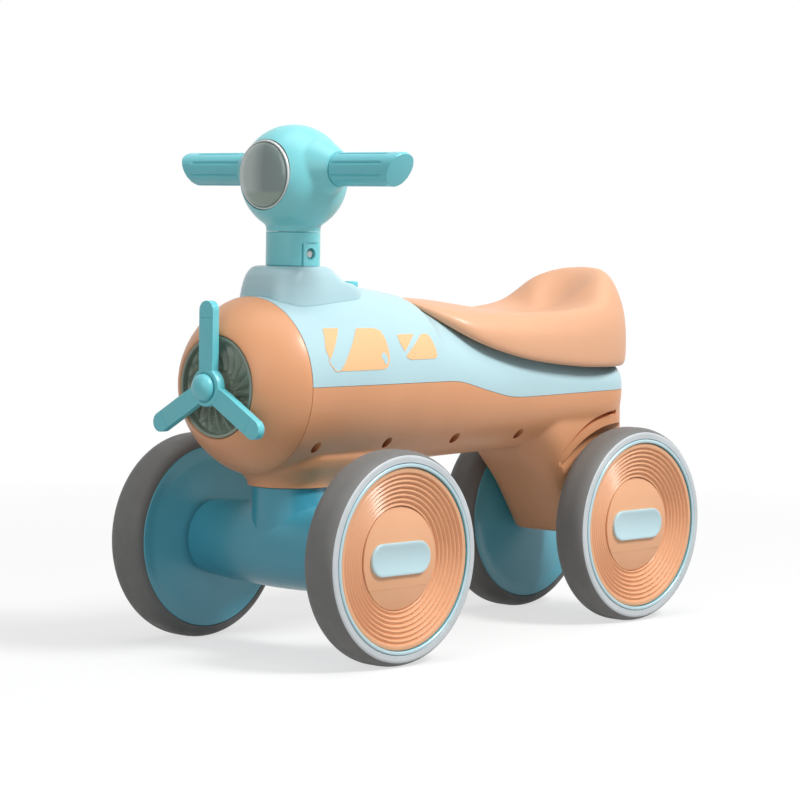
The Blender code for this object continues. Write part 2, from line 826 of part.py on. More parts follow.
def sound_holes():
    """Round holes through the belly below the speaker."""
    holes = []
    for side in (1.0, -1.0):
        for step in (-1.0, 0.0, 1.0):
            x = side * SOUND_HOLE_PITCH * 0.75
            y = SPEAKER_Y + step * SOUND_HOLE_PITCH
            start = (x, y, BELLY_Z - 0.010)
            holes.append(
                rod(
                    "sound_hole_%d" % (len(holes) + 1),
                    SOUND_HOLE_RADIUS,
                    start,
                    (x, y, SPEAKER_SEAT_Z - 0.001),
                ),
            )
    return holes


def build_screw(name, head_base, direction, length, finish="steel", parent=None):
    """Round-headed screw whose shank leaves the head's base along a direction."""
    base = Vector(head_base)
    along = Vector(direction)
    profile = [
        (0.0, SCREW_HEAD_THICKNESS),
        (SCREW_HEAD_RADIUS * 0.7, SCREW_HEAD_THICKNESS),
        (SCREW_HEAD_RADIUS, SCREW_HEAD_THICKNESS * 0.5),
        (SCREW_HEAD_RADIUS, 0.0),
        (SCREW_RADIUS, 0.0),
        (SCREW_RADIUS, -length + 0.001),
        (SCREW_RADIUS * 0.4, -length),
        (0.0, -length),
    ]
    screw = turned(name, profile, base, steps=SMALL_STEPS)
    screw.rotation_euler = (-along).to_track_quat("Z", "Y").to_euler()
    return part(screw, finish, parent)


def build_upper_shell(shell_mesh):
    """Light blue cover of the body, with its openings."""
    shell = add_object("upper_shell", shell_mesh)
    outline = seam_outline(-CLEARANCE)
    combine(shell, plate("above_seam", outline, "X", -0.2, 0.2))
    collar = rod(
        "collar_opening",
        BUSH_RADIUS + BUSH_COLLAR_WALL + 2.0 * CLEARANCE,
        (0.0, STEER_Y, BODY_AXIS_Z + 0.010),
        (0.0, STEER_Y, RIDGE_Z + 0.020),
        ROUND_STEPS,
    )
    button = rod(
        "button_opening",
        BUTTON_RADIUS + CLEARANCE,
        (0.0, BUTTON_Y, BOARD_TOP_Z + 0.005),
        (0.0, BUTTON_Y, RIDGE_Z + 0.020),
        ROUND_STEPS,
    )
    combine(shell, collar)
    combine(shell, button)
    for name, (ahead, rise) in SADDLE_SCREWS.items():
        y = REAR_AXLE_Y - ahead
        combine(
            shell,
            rod(name + "_hole", SCREW_RADIUS + CLEARANCE, (0.0, y, TAIL_MIDDLE_Z), (0.0, y, RIDGE_Z)),
        )
    return part(shell, "light_blue")


def door_region(name, margin):
    """Box through the belly where the battery door lies, grown by a margin along Y."""
    half = CELL_LENGTH / 2.0 + margin
    return box(
        name,
        (-DOOR_HALF_WIDTH, BATTERY_Y - half, BELLY_Z - 0.010),
        (DOOR_HALF_WIDTH, BATTERY_Y + half, BATTERY_FLANGE_Z - 0.0015),
    )


def build_battery(shell_mesh):
    """Battery door, the box above it and its two cells."""
    door = add_object("battery_door", shell_mesh.copy())
    half = CELL_LENGTH / 2.0 + DOOR_MARGIN - CLEARANCE
    width = DOOR_HALF_WIDTH - CLEARANCE
    region = box(
        "door_region",
        (-width, BATTERY_Y - half, BELLY_Z - 0.010),
        (width, BATTERY_Y + half, BATTERY_FLANGE_Z - 0.002),
    )
    part(combine(door, region, "INTERSECT"), "orange")

    inner_x = 2.0 * CELL_RADIUS + 1.5 * CLEARANCE
    inner_y = CELL_LENGTH / 2.0 + CLEARANCE
    inner_top = CELL_Z + CELL_RADIUS + CLEARANCE
    wall = BATTERY_WALL
    case = box(
        "battery_box",
        (-inner_x - wall, BATTERY_Y - inner_y - wall, BELLY_Z),
        (inner_x + wall, BATTERY_Y + inner_y + wall, inner_top + wall),
    )
    flange = box(
        "battery_flange",
        (-BODY_RADIUS, BATTERY_Y - inner_y - wall, BATTERY_FLANGE_Z),
        (BODY_RADIUS, BATTERY_Y + inner_y + wall, BATTERY_FLANGE_Z + 0.002),
    )
    combine(case, flange, "UNION")
    combine(case, fuselage("battery_fit", SHELL_WALL + CLEARANCE), "INTERSECT")
    combine(
        case,
        box(
            "battery_hollow",
            (-inner_x, BATTERY_Y - inner_y, BELLY_Z - 0.01),
            (inner_x, BATTERY_Y + inner_y, inner_top),
        ),
    )
    part(case, "black")

    for side, name in ((1.0, "battery_left"), (-1.0, "battery_right")):
        x = side * (CELL_RADIUS + CLEARANCE)
        low = -CELL_LENGTH / 2.0
        profile = [
            (0.0, low),
            (CELL_RADIUS, low),
            (CELL_RADIUS, -low - 0.002),
            (0.0025, -low - 0.002),
            (0.0025, -low),
            (0.0, -low),
        ]
        part(turned(name, profile, (x, BATTERY_Y, CELL_Z), "Y", SMALL_STEPS), "steel")


def build_sound_parts():
    """Sound board with its switch, the button with its spring, and the speaker."""
    bottom = BOARD_TOP_Z - BOARD_THICKNESS
    board = box(
        "sound_board",
        (-BOARD_HALF_WIDTH, BUTTON_Y - BOARD_HALF_LENGTH, bottom),
        (BOARD_HALF_WIDTH, BUTTON_Y + BOARD_HALF_LENGTH, BOARD_TOP_Z),
    )
    switch_top = BOARD_TOP_Z + SWITCH_HEIGHT
    switch = rod(
        "switch",
        BUTTON_STEM_RADIUS,
        (0.0, BUTTON_Y, bottom + 0.0004),
        (0.0, BUTTON_Y, switch_top),
        SMALL_STEPS,
    )
    part(combine(board, switch, "UNION"), "board_green")

    under = RIDGE_Z - SHELL_WALL - 0.0028
    stem_end = switch_top + BUTTON_TRAVEL + CLEARANCE
    flange_bottom = under - BUTTON_FLANGE_THICKNESS
    top = RIDGE_Z + BUTTON_PROUD
    profile = [
        (0.0, top),
        (BUTTON_RADIUS - 0.0012, top - 0.0002),
        (BUTTON_RADIUS, top - 0.0012),
        (BUTTON_RADIUS, under),
        (BUTTON_FLANGE_RADIUS, under),
        (BUTTON_FLANGE_RADIUS, flange_bottom),
        (BUTTON_STEM_RADIUS, flange_bottom),
        (BUTTON_STEM_RADIUS, stem_end),
        (0.0, stem_end),
    ]
    axis = pivot("power_button_axis", (0.0, BUTTON_Y, BOARD_TOP_Z))
    part(turned("power_button", profile, (0.0, BUTTON_Y, 0.0)), "light_blue", axis)

    low = BOARD_TOP_Z + CLEARANCE + SPRING_WIRE_RADIUS
    high = flange_bottom - CLEARANCE - SPRING_WIRE_RADIUS
    rings = []
    count = SPRING_TURNS * 8 + 1
    for i in range(count):
        angle = 2.0 * math.pi * SPRING_TURNS * i / (count - 1)
        height = low + (high - low) * i / (count - 1)
        ring = []
        for out, up in arc((0.0, 0.0), SPRING_WIRE_RADIUS, 0.25 * math.pi, 1.75 * math.pi, 4):
            radius = SPRING_RADIUS + out
            ring.append((radius * math.cos(angle), BUTTON_Y + radius * math.sin(angle), height + up))
        rings.append(ring)
    part(loft("button_spring", rings), "steel")

    seat = SPEAKER_SEAT_Z + CLEARANCE
    magnet = SPEAKER_RADIUS * 0.62
    profile = [
        (0.0, seat),
        (SPEAKER_RADIUS, seat),
        (SPEAKER_RADIUS, seat + 0.0015),
        (magnet, seat + SPEAKER_DEPTH * 0.55),
        (magnet, seat + SPEAKER_DEPTH),
        (0.0, seat + SPEAKER_DEPTH),
    ]
    part(turned("speaker", profile, (0.0, SPEAKER_Y, 0.0)), "black")


def build_nose():
    """Nose cowl and the air intake set into it."""
    inner_radius = INTAKE_RADIUS + CLEARANCE
    body_inner = BODY_RADIUS - SHELL_WALL - CLEARANCE
    collar = inner_radius + 0.0024
    collar_end = -COWL_LENGTH + INTAKE_DEPTH
    power = 2.0 / 1.3
    outer = []
    inner = []
    for i in range(7):
        angle = 0.5 * math.pi * i / 6.0
        along = math.cos(angle) ** power
        across = math.sin(angle) ** power
        outer.append(
            (
                COWL_LIP_RADIUS + (BODY_RADIUS - COWL_LIP_RADIUS) * across,
                -CLEARANCE - (COWL_LENGTH - CLEARANCE) * along,
            ),
        )
        inner.append(
            (
                collar + (body_inner - SHELL_WALL - collar) * across,
                -SHELL_WALL - (COWL_LENGTH - 2.2 * SHELL_WALL) * along,
            ),
        )
    inner = [point for point in inner if point[1] > collar_end]
    profile = [(inner_radius, -COWL_LENGTH + 0.0008)] + outer
    profile += [
        (body_inner, -CLEARANCE), (body_inner, COWL_SPIGOT), (body_inner - SHELL_WALL, COWL_SPIGOT)
    ]
    profile += inner[::-1]
    profile += [(collar, collar_end - 0.0004), (collar, collar_end), (inner_radius, collar_end)]
    place = (0.0, SEAM_Y, BODY_AXIS_Z)
    part(turned("nose_cowl", profile, place, "Y", BODY_STEPS), "orange")

    front = -COWL_LENGTH - 0.0002
    floor = -COWL_LENGTH + INTAKE_DEPTH - 0.0020
    back = collar_end + CLEARANCE
    rim = INTAKE_RADIUS - INTAKE_RIM
    bore = PROPELLER_SHAFT_RADIUS + CLEARANCE
    boss_front = -COWL_LENGTH - PROPELLER_GAP
    profile = [
        (INTAKE_RADIUS, front + 0.0006),
        (INTAKE_RADIUS, back),
        (collar, back),
        (collar, back + 0.002),
        (bore, back + 0.002),
        (bore, boss_front),
        (INTAKE_BOSS_RADIUS * 0.8, boss_front),
        (INTAKE_BOSS_RADIUS, boss_front + 0.003),
        (INTAKE_BOSS_RADIUS, floor),
        (rim, floor),
        (rim, front + 0.0006),
        (rim + 0.0006, front),
        (INTAKE_RADIUS - 0.0006, front),
    ]
    grille = turned("intake_grille", profile, place, "Y", BODY_STEPS)
    combine(grille, vanes(front + 0.0016, floor + 0.0006, rim + 0.0008), "UNION")
    part(grille, "intake_beige")


def vanes(front, back, reach):
    """Tilted radial vanes of the intake as one cutter mesh."""
    bm = bmesh.new()
    start = INTAKE_BOSS_RADIUS - 0.0012
    depth = back - front
    for i in range(VANE_COUNT):
        made = bmesh.ops.create_cube(bm, size=1.0)["verts"]
        turn = Euler((0.0, 2.0 * math.pi * i / VANE_COUNT, 0.0)).to_matrix()
        tilt = Euler((0.0, 0.0, VANE_TILT)).to_matrix()
        for vert in made:
            local = Vector((0.0, vert.co.y * depth, vert.co.z + 0.5))
            lean = tilt @ Vector((vert.co.x * VANE_THICKNESS, local.y, 0.0))
            point = Vector((lean.x, lean.y, start + (reach - start) * local.z))
            vert.co = turn @ point
    bmesh.ops.translate(bm, verts=bm.verts, vec=(0.0, SEAM_Y + (front + back) / 2.0, BODY_AXIS_Z))
    return add_object("vanes", mesh_from(bm, "vanes"))


def build_propeller():
    """Propeller, its hub dome, shaft and retainer, all turning together."""
    back_y = FRONT_AXLE_Y - HUB_BACK_AHEAD
    front_y = FRONT_AXLE_Y - HUB_FRONT_AHEAD
    axis = pivot("propeller_axis", (0.0, back_y, BODY_AXIS_Z))
    bore = PROPELLER_SHAFT_RADIUS + CLEARANCE
    profile = [
        (bore, 0.0),
        (PROPELLER_HUB_RADIUS - 0.0008, 0.0),
        (PROPELLER_HUB_RADIUS, -0.0008),
        (PROPELLER_HUB_RADIUS, -PROPELLER_HUB_DEPTH + 0.0012),
        (PROPELLER_HUB_RADIUS - 0.0012, -PROPELLER_HUB_DEPTH),
        (bore, -PROPELLER_HUB_DEPTH),
    ]
    propeller = turned("propeller", profile, (0.0, back_y, BODY_AXIS_Z), "Y")
    half = BLADE_WIDTH / 2.0
    straight = PROPELLER_LENGTH - half
    outline = [(half, 0.006), (half, straight)]
    outline += arc((0.0, straight), half, 0.0, math.pi, 9)[1:-1]
    outline += [(-half, straight), (-half, 0.006)]
    middle_y = (back_y + front_y) / 2.0
    for i in range(BLADE_COUNT):
        blade = plate("blade_%d" % (i + 1), outline, "Z", -BLADE_THICKNESS / 2.0, BLADE_THICKNESS / 2.0)
        bevel = blade.modifiers.new("Edges", "BEVEL")
        bevel.width = 0.0008
        bevel.segments = 1
        blade.rotation_euler = (math.pi / 2.0, 2.0 * math.pi * i / BLADE_COUNT, 0.0)
        blade.location = (0.0, middle_y, BODY_AXIS_Z)
        combine(propeller, blade, "UNION")
    part(propeller, "light_blue", axis)

    dome = arc((0.0, 0.0), 1.0, 0.0, 0.5 * math.pi, 7)
    profile = [(0.0, 0.0)] + [(SPINNER_RADIUS * a, -SPINNER_LENGTH * b) for a, b in dome]
    profile[-1] = (0.0, -SPINNER_LENGTH)
    part(
        turned("propeller_cap", profile, (0.0, front_y - CLEARANCE, BODY_AXIS_Z), "Y"),
        "light_blue",
        axis,
    )

    retainer_y = SEAM_Y - COWL_LENGTH + INTAKE_DEPTH + 2.0 * CLEARANCE + 0.002
    retainer = 0.0025
    radius = PROPELLER_SHAFT_RADIUS
    start = (0.0, front_y, BODY_AXIS_Z)
    end = (0.0, retainer_y + retainer + 0.0015, BODY_AXIS_Z)
    part(rod("propeller_shaft", radius, start, end), "steel", axis)
    profile = [(bore, 0.0), (2.2 * radius, 0.0), (2.2 * radius, retainer), (bore, retainer)]
    part(
        turned("propeller_retainer", profile, (0.0, retainer_y, BODY_AXIS_Z), "Y", SMALL_STEPS),
        "steel",
        axis,
    )


def build_neck():
    """Neck housing on the upper shell, with the upper steering bush."""
    def housing(name, inset):
        # height, half width, front, rear, corner radius
        sections = [
            (
                BODY_AXIS_Z + 0.040,
                NECK_HALF_WIDTH + 0.003,
                NECK_FRONT + 0.0040,
                NECK_REAR + 0.0040,
                0.0200,
            ),
            (
                RIDGE_Z - 0.0060,
                NECK_HALF_WIDTH + 0.001,
                NECK_FRONT + 0.0010,
                NECK_REAR + 0.0020,
                0.0190,
            ),
            (RIDGE_Z + 0.0010, NECK_HALF_WIDTH, NECK_FRONT, NECK_REAR - 0.0040, 0.0190),
            (
                RIDGE_Z + 0.0038,
                NECK_HALF_WIDTH - 0.0005,
                NECK_FRONT - 0.0008,
                NECK_REAR - 0.0140,
                0.0185,
            ),
            (
                NECK_TOP_Z - 0.0060,
                NECK_HALF_WIDTH - 0.0018,
                NECK_FRONT - 0.0025,
                NECK_REAR - 0.0215,
                0.0180,
            ),
            (
                NECK_TOP_Z - 0.0022,
                NECK_HALF_WIDTH - 0.0038,
                NECK_FRONT - 0.0055,
                NECK_REAR - 0.0255,
                0.0165,
            ),
            (
                NECK_TOP_Z - 0.0006,
                NECK_HALF_WIDTH - 0.0056,
                NECK_FRONT - 0.0080,
                NECK_REAR - 0.0280,
                0.0155,
            ),
            (NECK_TOP_Z, NECK_HALF_WIDTH - 0.0075, NECK_FRONT - 0.0105, NECK_REAR - 0.0305, 0.0145),
        ]
        rings = []
        for z, half_width, front, rear, corner in sections:
            rings.append(
                rounded_rectangle(
                    z - inset,
                    half_width - inset,
                    STEER_Y - front + inset,
                    STEER_Y + rear - inset,
                    corner - inset,
                )
            )
        return loft(name, rings)

    neck = housing("neck_housing", 0.0)
    hollow = housing("neck_hollow", SHELL_WALL)
    collar_radius = BUSH_RADIUS + CLEARANCE + BUSH_COLLAR_WALL
    collar_bottom = RIDGE_Z - SHELL_WALL - 0.004
    post = rod(
        "neck_collar",
        collar_radius,
        (0.0, STEER_Y, collar_bottom),
        (0.0, STEER_Y, NECK_TOP_Z - 0.001),
        ROUND_STEPS,
    )
    combine(neck, hollow)
    combine(neck, fuselage("neck_fit", -CLEARANCE))
    combine(neck, post, "UNION")
    bore = rod(
        "upper_bush_bore",
        BUSH_RADIUS + CLEARANCE,
        (0.0, STEER_Y, BODY_AXIS_Z),
        (0.0, STEER_Y, NECK_TOP_Z + 0.01),
        ROUND_STEPS,
    )
    combine(neck, bore)
    part(neck, "light_blue")

    inner = STEER_TUBE_RADIUS + CLEARANCE
    for name, low, high in (
        ("upper_steering_bush", collar_bottom, NECK_TOP_Z),
        ("lower_steering_bush", FLANGE_BOTTOM_Z, FLANGE_BOSS_TOP_Z),
    ):
        profile = [(inner, low), (BUSH_RADIUS, low), (BUSH_RADIUS, high), (inner, high)]
        part(turned(name, profile, (0.0, STEER_Y, 0.0)), "white")


def saddle_stations():
    """Half outline of the saddle from its tail round to its tip.

    Each row gives the outline's x and y, the crest's x, y and z, and the lower edge's z.
    """
    tail = REAR_AXLE_Y + SADDLE_TAIL
    tip = SADDLE_TIP_Y
    wide = SADDLE_HALF_WIDTH
    back = SADDLE_BACK_Z
    edge = SADDLE_EDGE_Z
    return [
        (0.0, tail, 0.0, tail - 0.0215, back, edge),
        (wide * 0.47, tail - 0.0092, wide * 0.31, tail - 0.0265, back - 0.0012, edge),
        (wide * 0.825, tail - 0.0325, wide * 0.58, tail - 0.0420, back - 0.0085, edge + 0.0005),
        (wide * 0.975, tail - 0.0600, wide * 0.78, tail - 0.0640, back - 0.0255, edge + 0.0010),
        (wide, tail - 0.0980, wide * 0.80, tail - 0.0980, SADDLE_DISH_Z + 0.0025, edge + 0.0025),
        (wide, tail - 0.1480, wide * 0.75, tail - 0.1475, SADDLE_DISH_Z + 0.0010, edge + 0.0075),
        (wide * 0.985, tip + 0.0640, wide * 0.70, tip + 0.0660, SADDLE_DISH_Z + 0.0017, edge + 0.0145),
        (wide * 0.93, tip + 0.0400, wide * 0.61, tip + 0.0440, SADDLE_DISH_Z + 0.0030, edge + 0.0220),
        (wide * 0.79, tip + 0.0230, wide * 0.49, tip + 0.0285, SADDLE_DISH_Z + 0.0055, edge + 0.0315),
        (wide * 0.53, tip + 0.0085, wide * 0.31, tip + 0.0150, SADDLE_DISH_Z + 0.0090, edge + 0.0435),
        (wide * 0.27, tip + 0.0010, wide * 0.15, tip + 0.0070, SADDLE_DISH_Z + 0.0112, edge + 0.0515),
        (0.0, tip - 0.0015, 0.0, tip + 0.0035, SADDLE_DISH_Z + 0.0120, edge + 0.0540),
    ]


def saddle_lump(name, inset):
    """Solid below the saddle's upper side, moved inwards by inset and closed underneath."""
    dish = Vector((0.0, REAR_AXLE_Y - SADDLE_DISH, SADDLE_DISH_Z - inset))
    base = SADDLE_EDGE_Z - 0.005 - 2.0 * inset
    top_steps = (0.35, 0.7, 0.9)
    roll = ((0.0, 0.0), (0.36, 0.09), (0.68, 0.25), (0.92, 0.45), (1.0, 0.68), (0.90, 1.0))
    rows = curve_through(saddle_stations(), 1)
    columns = []
    for i, (ox, oy, kx, ky, kz, ez) in enumerate(rows):
        before = rows[max(i - 1, 0)]
        after = rows[min(i + 1, len(rows) - 1)]
        along = Vector((after[0] - before[0], after[1] - before[1]))
        if 0 < i < len(rows) - 1:
            inward = Vector((along.y, -along.x)).normalized() * inset
        else:
            inward = Vector((0.0, -inset if i == 0 else inset))
        outline = Vector((ox, oy)) + inward
        crest = Vector((kx, ky + inward.y * 0.3, kz - inset))
        edge = ez - 2.0 * inset
        column = []
        for step in top_steps:
            point = dish.lerp(crest, step)
            point.z = dish.z + (crest.z - dish.z) * step ** 1.8
            column.append(point)
        for out, down in roll:
            x = crest.x + (outline.x - crest.x) * out
            y = crest.y + (outline.y - crest.y) * out
            column.append(Vector((x, y, crest.z + (edge - crest.z) * down)))
        columns.append(column)
    columns += [[Vector((-co.x, co.y, co.z)) for co in column] for column in columns[-2:0:-1]]
    bm = bmesh.new()
    centre = bm.verts.new(dish)
    bottom = bm.verts.new((0.0, dish.y, base))
    grid = [[bm.verts.new(point) for point in column] for column in columns]
    for first, second in zip(grid, grid[1:] + grid[:1]):
        bm.faces.new((centre, second[0], first[0]))
        bm.faces.new((bottom, first[-1], second[-1]))
        for k in range(len(first) - 1):
            bm.faces.new((first[k], second[k], second[k + 1], first[k + 1]))
    return add_object(name, mesh_from(bm, name))


def build_saddle():
    """Saddle with its two bosses and the screws that hold it."""
    saddle = saddle_lump("saddle", 0.0)
    combine(saddle, saddle_lump("saddle_hollow", SADDLE_WALL))
    for name, (ahead, rise) in SADDLE_SCREWS.items():
        y = REAR_AXLE_Y - ahead
        top = SADDLE_DISH_Z + rise
        combine(
            saddle,
            rod(name + "_boss", SADDLE_BOSS_RADIUS, (0.0, y, TAIL_MIDDLE_Z), (0.0, y, top)),
            "UNION",
        )
    combine(saddle, fuselage("saddle_fit", -CLEARANCE))
    for name, (ahead, rise) in SADDLE_SCREWS.items():
        y = REAR_AXLE_Y - ahead
        surface = body_top(y)
        length = 0.012
        hole = rod(
            name + "_pilot",
            SCREW_RADIUS + CLEARANCE,
            (0.0, y, surface - 0.01),
            (0.0, y, surface - SHELL_WALL + length),
        )
        combine(saddle, hole)
        head_z = surface - SHELL_WALL - 0.0014
        build_screw(name, (0.0, y, head_z), (0.0, 0.0, 1.0), length)
    part(saddle, "orange")


def body_top(y):
    """Height of the fuselage's top line at a place along it."""
    probe = bpy.data.objects["saddle_fit"].data
    near = [vert.co for vert in probe.vertices if abs(vert.co.x) < 1e-5 and vert.co.z > TAIL_MIDDLE_Z]
    near.sort(key=lambda co: co.y)
    for a, b in zip(near, near[1:]):
        if a.y <= y <= b.y:
            return a.z + (b.z - a.z) * (y - a.y) / (b.y - a.y) - CLEARANCE
    return near[-1].z


def build_column(axis):
    """Steering tube, column sleeve and the sleeve's screw."""
    inner = STEER_TUBE_RADIUS - STEER_TUBE_WALL
    bottom = STEM_BORE_FLOOR_Z + CLEARANCE
    top = HANDLE_Z - HANDLE_TUBE_RADIUS - CLEARANCE
    profile = [(inner, bottom), (STEER_TUBE_RADIUS, bottom), (STEER_TUBE_RADIUS, top), (inner, top)]
    tube = turned("steering_tube", profile, (0.0, STEER_Y, 0.0))
    hole_start = (inner - 0.002, STEER_Y, COLUMN_SCREW_Z)
    hole_end = (COLUMN_RADIUS, STEER_Y, COLUMN_SCREW_Z)
    combine(tube, rod("tube_screw_hole", SCREW_RADIUS + CLEARANCE, hole_start, hole_end))
    part(tube, "steel", axis)

    bore = STEER_TUBE_RADIUS + CLEARANCE
    low = NECK_TOP_Z + CLEARANCE
    profile = [
        (bore, low),
        (COLUMN_RADIUS, low),
        (COLUMN_RADIUS, COLUMN_TOP_Z - 0.0004),
        (COLUMN_RADIUS - 0.0004, COLUMN_TOP_Z),
        (bore, COLUMN_TOP_Z),
    ]
    sleeve = turned("column_sleeve", profile, (0.0, STEER_Y, 0.0), steps=BODY_STEPS)
    pad_low = (bore + 0.002, STEER_Y - COLUMN_PAD_HALF_WIDTH, low)
    pad_high = (COLUMN_PAD_X, STEER_Y + COLUMN_PAD_HALF_WIDTH, COLUMN_PAD_TOP_Z)
    combine(sleeve, box("sleeve_pad", pad_low, pad_high), "UNION")
    trim_low = (COLUMN_PAD_X, STEER_Y - COLUMN_RADIUS, low - 0.001)
    trim_high = (2.0 * COLUMN_RADIUS, STEER_Y + COLUMN_RADIUS, COLUMN_PAD_TOP_Z)
    combine(sleeve, box("sleeve_trim", trim_low, trim_high))
    head_x = COLUMN_PAD_X - SCREW_HEAD_THICKNESS - 0.0012
    recess = rod(
        "sleeve_recess",
        SCREW_HEAD_RADIUS + 0.001,
        (head_x - CLEARANCE, STEER_Y, COLUMN_SCREW_Z),
        (0.03, STEER_Y, COLUMN_SCREW_Z),
        16,
    )
    combine(sleeve, recess)
    combine(sleeve, rod("sleeve_screw_hole", SCREW_RADIUS + CLEARANCE, hole_start, hole_end))
    part(sleeve, "light_blue", axis)
    length = head_x - inner + 0.001
    build_screw(
        "column_screw", (head_x, STEER_Y, COLUMN_SCREW_Z), (-1.0, 0.0, 0.0), length, parent=axis
    )


def root_profile(bore, end):
    """Conical root of a grip on the lamp head, as a profile along X."""
    flare = GRIP_START_X - 0.0060
    return [
        (bore, 0.012),
        (ROOT_RADIUS + 0.004, 0.012),
        (ROOT_RADIUS, 0.0300),
        (GRIP_RADIUS + 0.0022, flare),
        (GRIP_RADIUS + 0.0004, end),
        (bore, end),
    ]


def head_solid(name, inset):
    """Round lamp head on its neck, moved inwards by inset."""
    radius = HEAD_RADIUS - inset
    neck = COLUMN_RADIUS - inset
    low = COLUMN_TOP_Z + CLEARANCE + inset
    join = -math.acos(neck / radius)
    profile = [(0.0, low), (neck, low)]
    count = 13 if inset <= 0.0 else 9
    profile += [
        (radius * math.cos(a), HEAD_Z + radius * math.sin(a))
        for a in spread(join, 0.5 * math.pi, count)
    ]
    profile[-1] = (0.0, HEAD_Z + radius)
    return turned(name, profile, (0.0, STEER_Y, 0.0), steps=BODY_STEPS)


def build_head(axis):
    """Front and rear shells of the lamp head."""
    outer = head_solid("head_outer", 0.0)
    cavity = head_solid("head_cavity", SHELL_WALL)
    root_end = GRIP_START_X - CLEARANCE
    tube_bore = HANDLE_TUBE_RADIUS + CLEARANCE
    for direction in ("+X", "-X"):
        place = (0.0, STEER_Y, HANDLE_Z)
        tag = "left" if direction == "+X" else "right"
        combine(
            outer,
            turned(
                "root_" + tag, root_profile(tube_bore - 0.001, root_end), place, direction, ROUND_STEPS
            ),
            "UNION",
        )
        rib = turned(
            "root_rib_" + tag,
            [
                (tube_bore - 0.002, 0.024),
                (tube_bore + 0.003, 0.024),
                (tube_bore + 0.003, 0.05),
                (tube_bore - 0.002, 0.05),
            ],
            place,
            direction,
            ROUND_STEPS,
        )
        combine(cavity, rib)
    boss_reach = HEAD_RADIUS * 0.45
    boss_end = (0.0, STEER_Y + HEAD_RADIUS, HEAD_SCREW_Z)
    boss_start = (0.0, STEER_Y - boss_reach, HEAD_SCREW_Z)
    combine(cavity, rod("head_screw_boss", SCREW_BOSS_RADIUS, boss_start, boss_end))
    rib_low = (-SCREW_RADIUS, STEER_Y - boss_reach, HEAD_SCREW_Z)
    rib_high = (SCREW_RADIUS, STEER_Y + boss_reach, HEAD_Z + HEAD_RADIUS)
    combine(cavity, box("head_screw_rib", rib_low, rib_high))
    combine(outer, cavity)
    handle = rod(
        "handle_bore",
        tube_bore,
        (-HANDLE_SPAN, STEER_Y, HANDLE_Z),
        (HANDLE_SPAN, STEER_Y, HANDLE_Z),
        ROUND_STEPS,
    )
    combine(outer, handle)
    tube = rod(
        "column_bore",
        STEER_TUBE_RADIUS + CLEARANCE,
        (0.0, STEER_Y, COLUMN_TOP_Z - 0.01),
        (0.0, STEER_Y, HANDLE_Z),
        ROUND_STEPS,
    )
    combine(outer, tube)
    shell = evaluated_mesh(outer)

    lens_bore = rod(
        "lens_bore",
        BEZEL_RADIUS + CLEARANCE,
        (0.0, STEER_Y - 2.0 * HEAD_RADIUS, LENS_Z),
        (0.0, STEER_Y - HEAD_RADIUS * 0.55, LENS_Z),
        BODY_STEPS,
    )
    split = CLEARANCE / 2.0
    reach = 0.2
    front = add_object("head_front_shell", shell)
    combine(
        front,
        box("head_front_half", (-reach, STEER_Y - reach, 0.2), (reach, STEER_Y - split, 0.5)),
        "INTERSECT",
    )
    combine(front, lens_bore)
    head_y = STEER_Y + HEAD_RADIUS * 0.45
    pilot_start = (0.0, STEER_Y - HEAD_RADIUS * 0.40, HEAD_SCREW_Z)
    pilot_end = (0.0, head_y + 0.001, HEAD_SCREW_Z)
    pilot = rod("head_pilot", SCREW_RADIUS + CLEARANCE, pilot_start, pilot_end)
    combine(front, pilot)
    part(front, "light_blue", axis)
    rear = add_object("head_rear_shell", shell.copy())
    combine(
        rear,
        box("head_rear_half", (-reach, STEER_Y + split, 0.2), (reach, STEER_Y + reach, 0.5)),
        "INTERSECT",
    )
    combine(rear, pilot)
    recess_end = (0.0, STEER_Y + 2.0 * HEAD_RADIUS, HEAD_SCREW_Z)
    combine(
        rear,
        rod("head_recess", SCREW_RECESS_RADIUS, (0.0, head_y - CLEARANCE, HEAD_SCREW_Z), recess_end, 16),
    )
    part(rear, "light_blue", axis)
    length = head_y - STEER_Y + HEAD_RADIUS * 0.35
    build_screw("head_screw", (0.0, head_y, HEAD_SCREW_Z), (0.0, -1.0, 0.0), length, parent=axis)


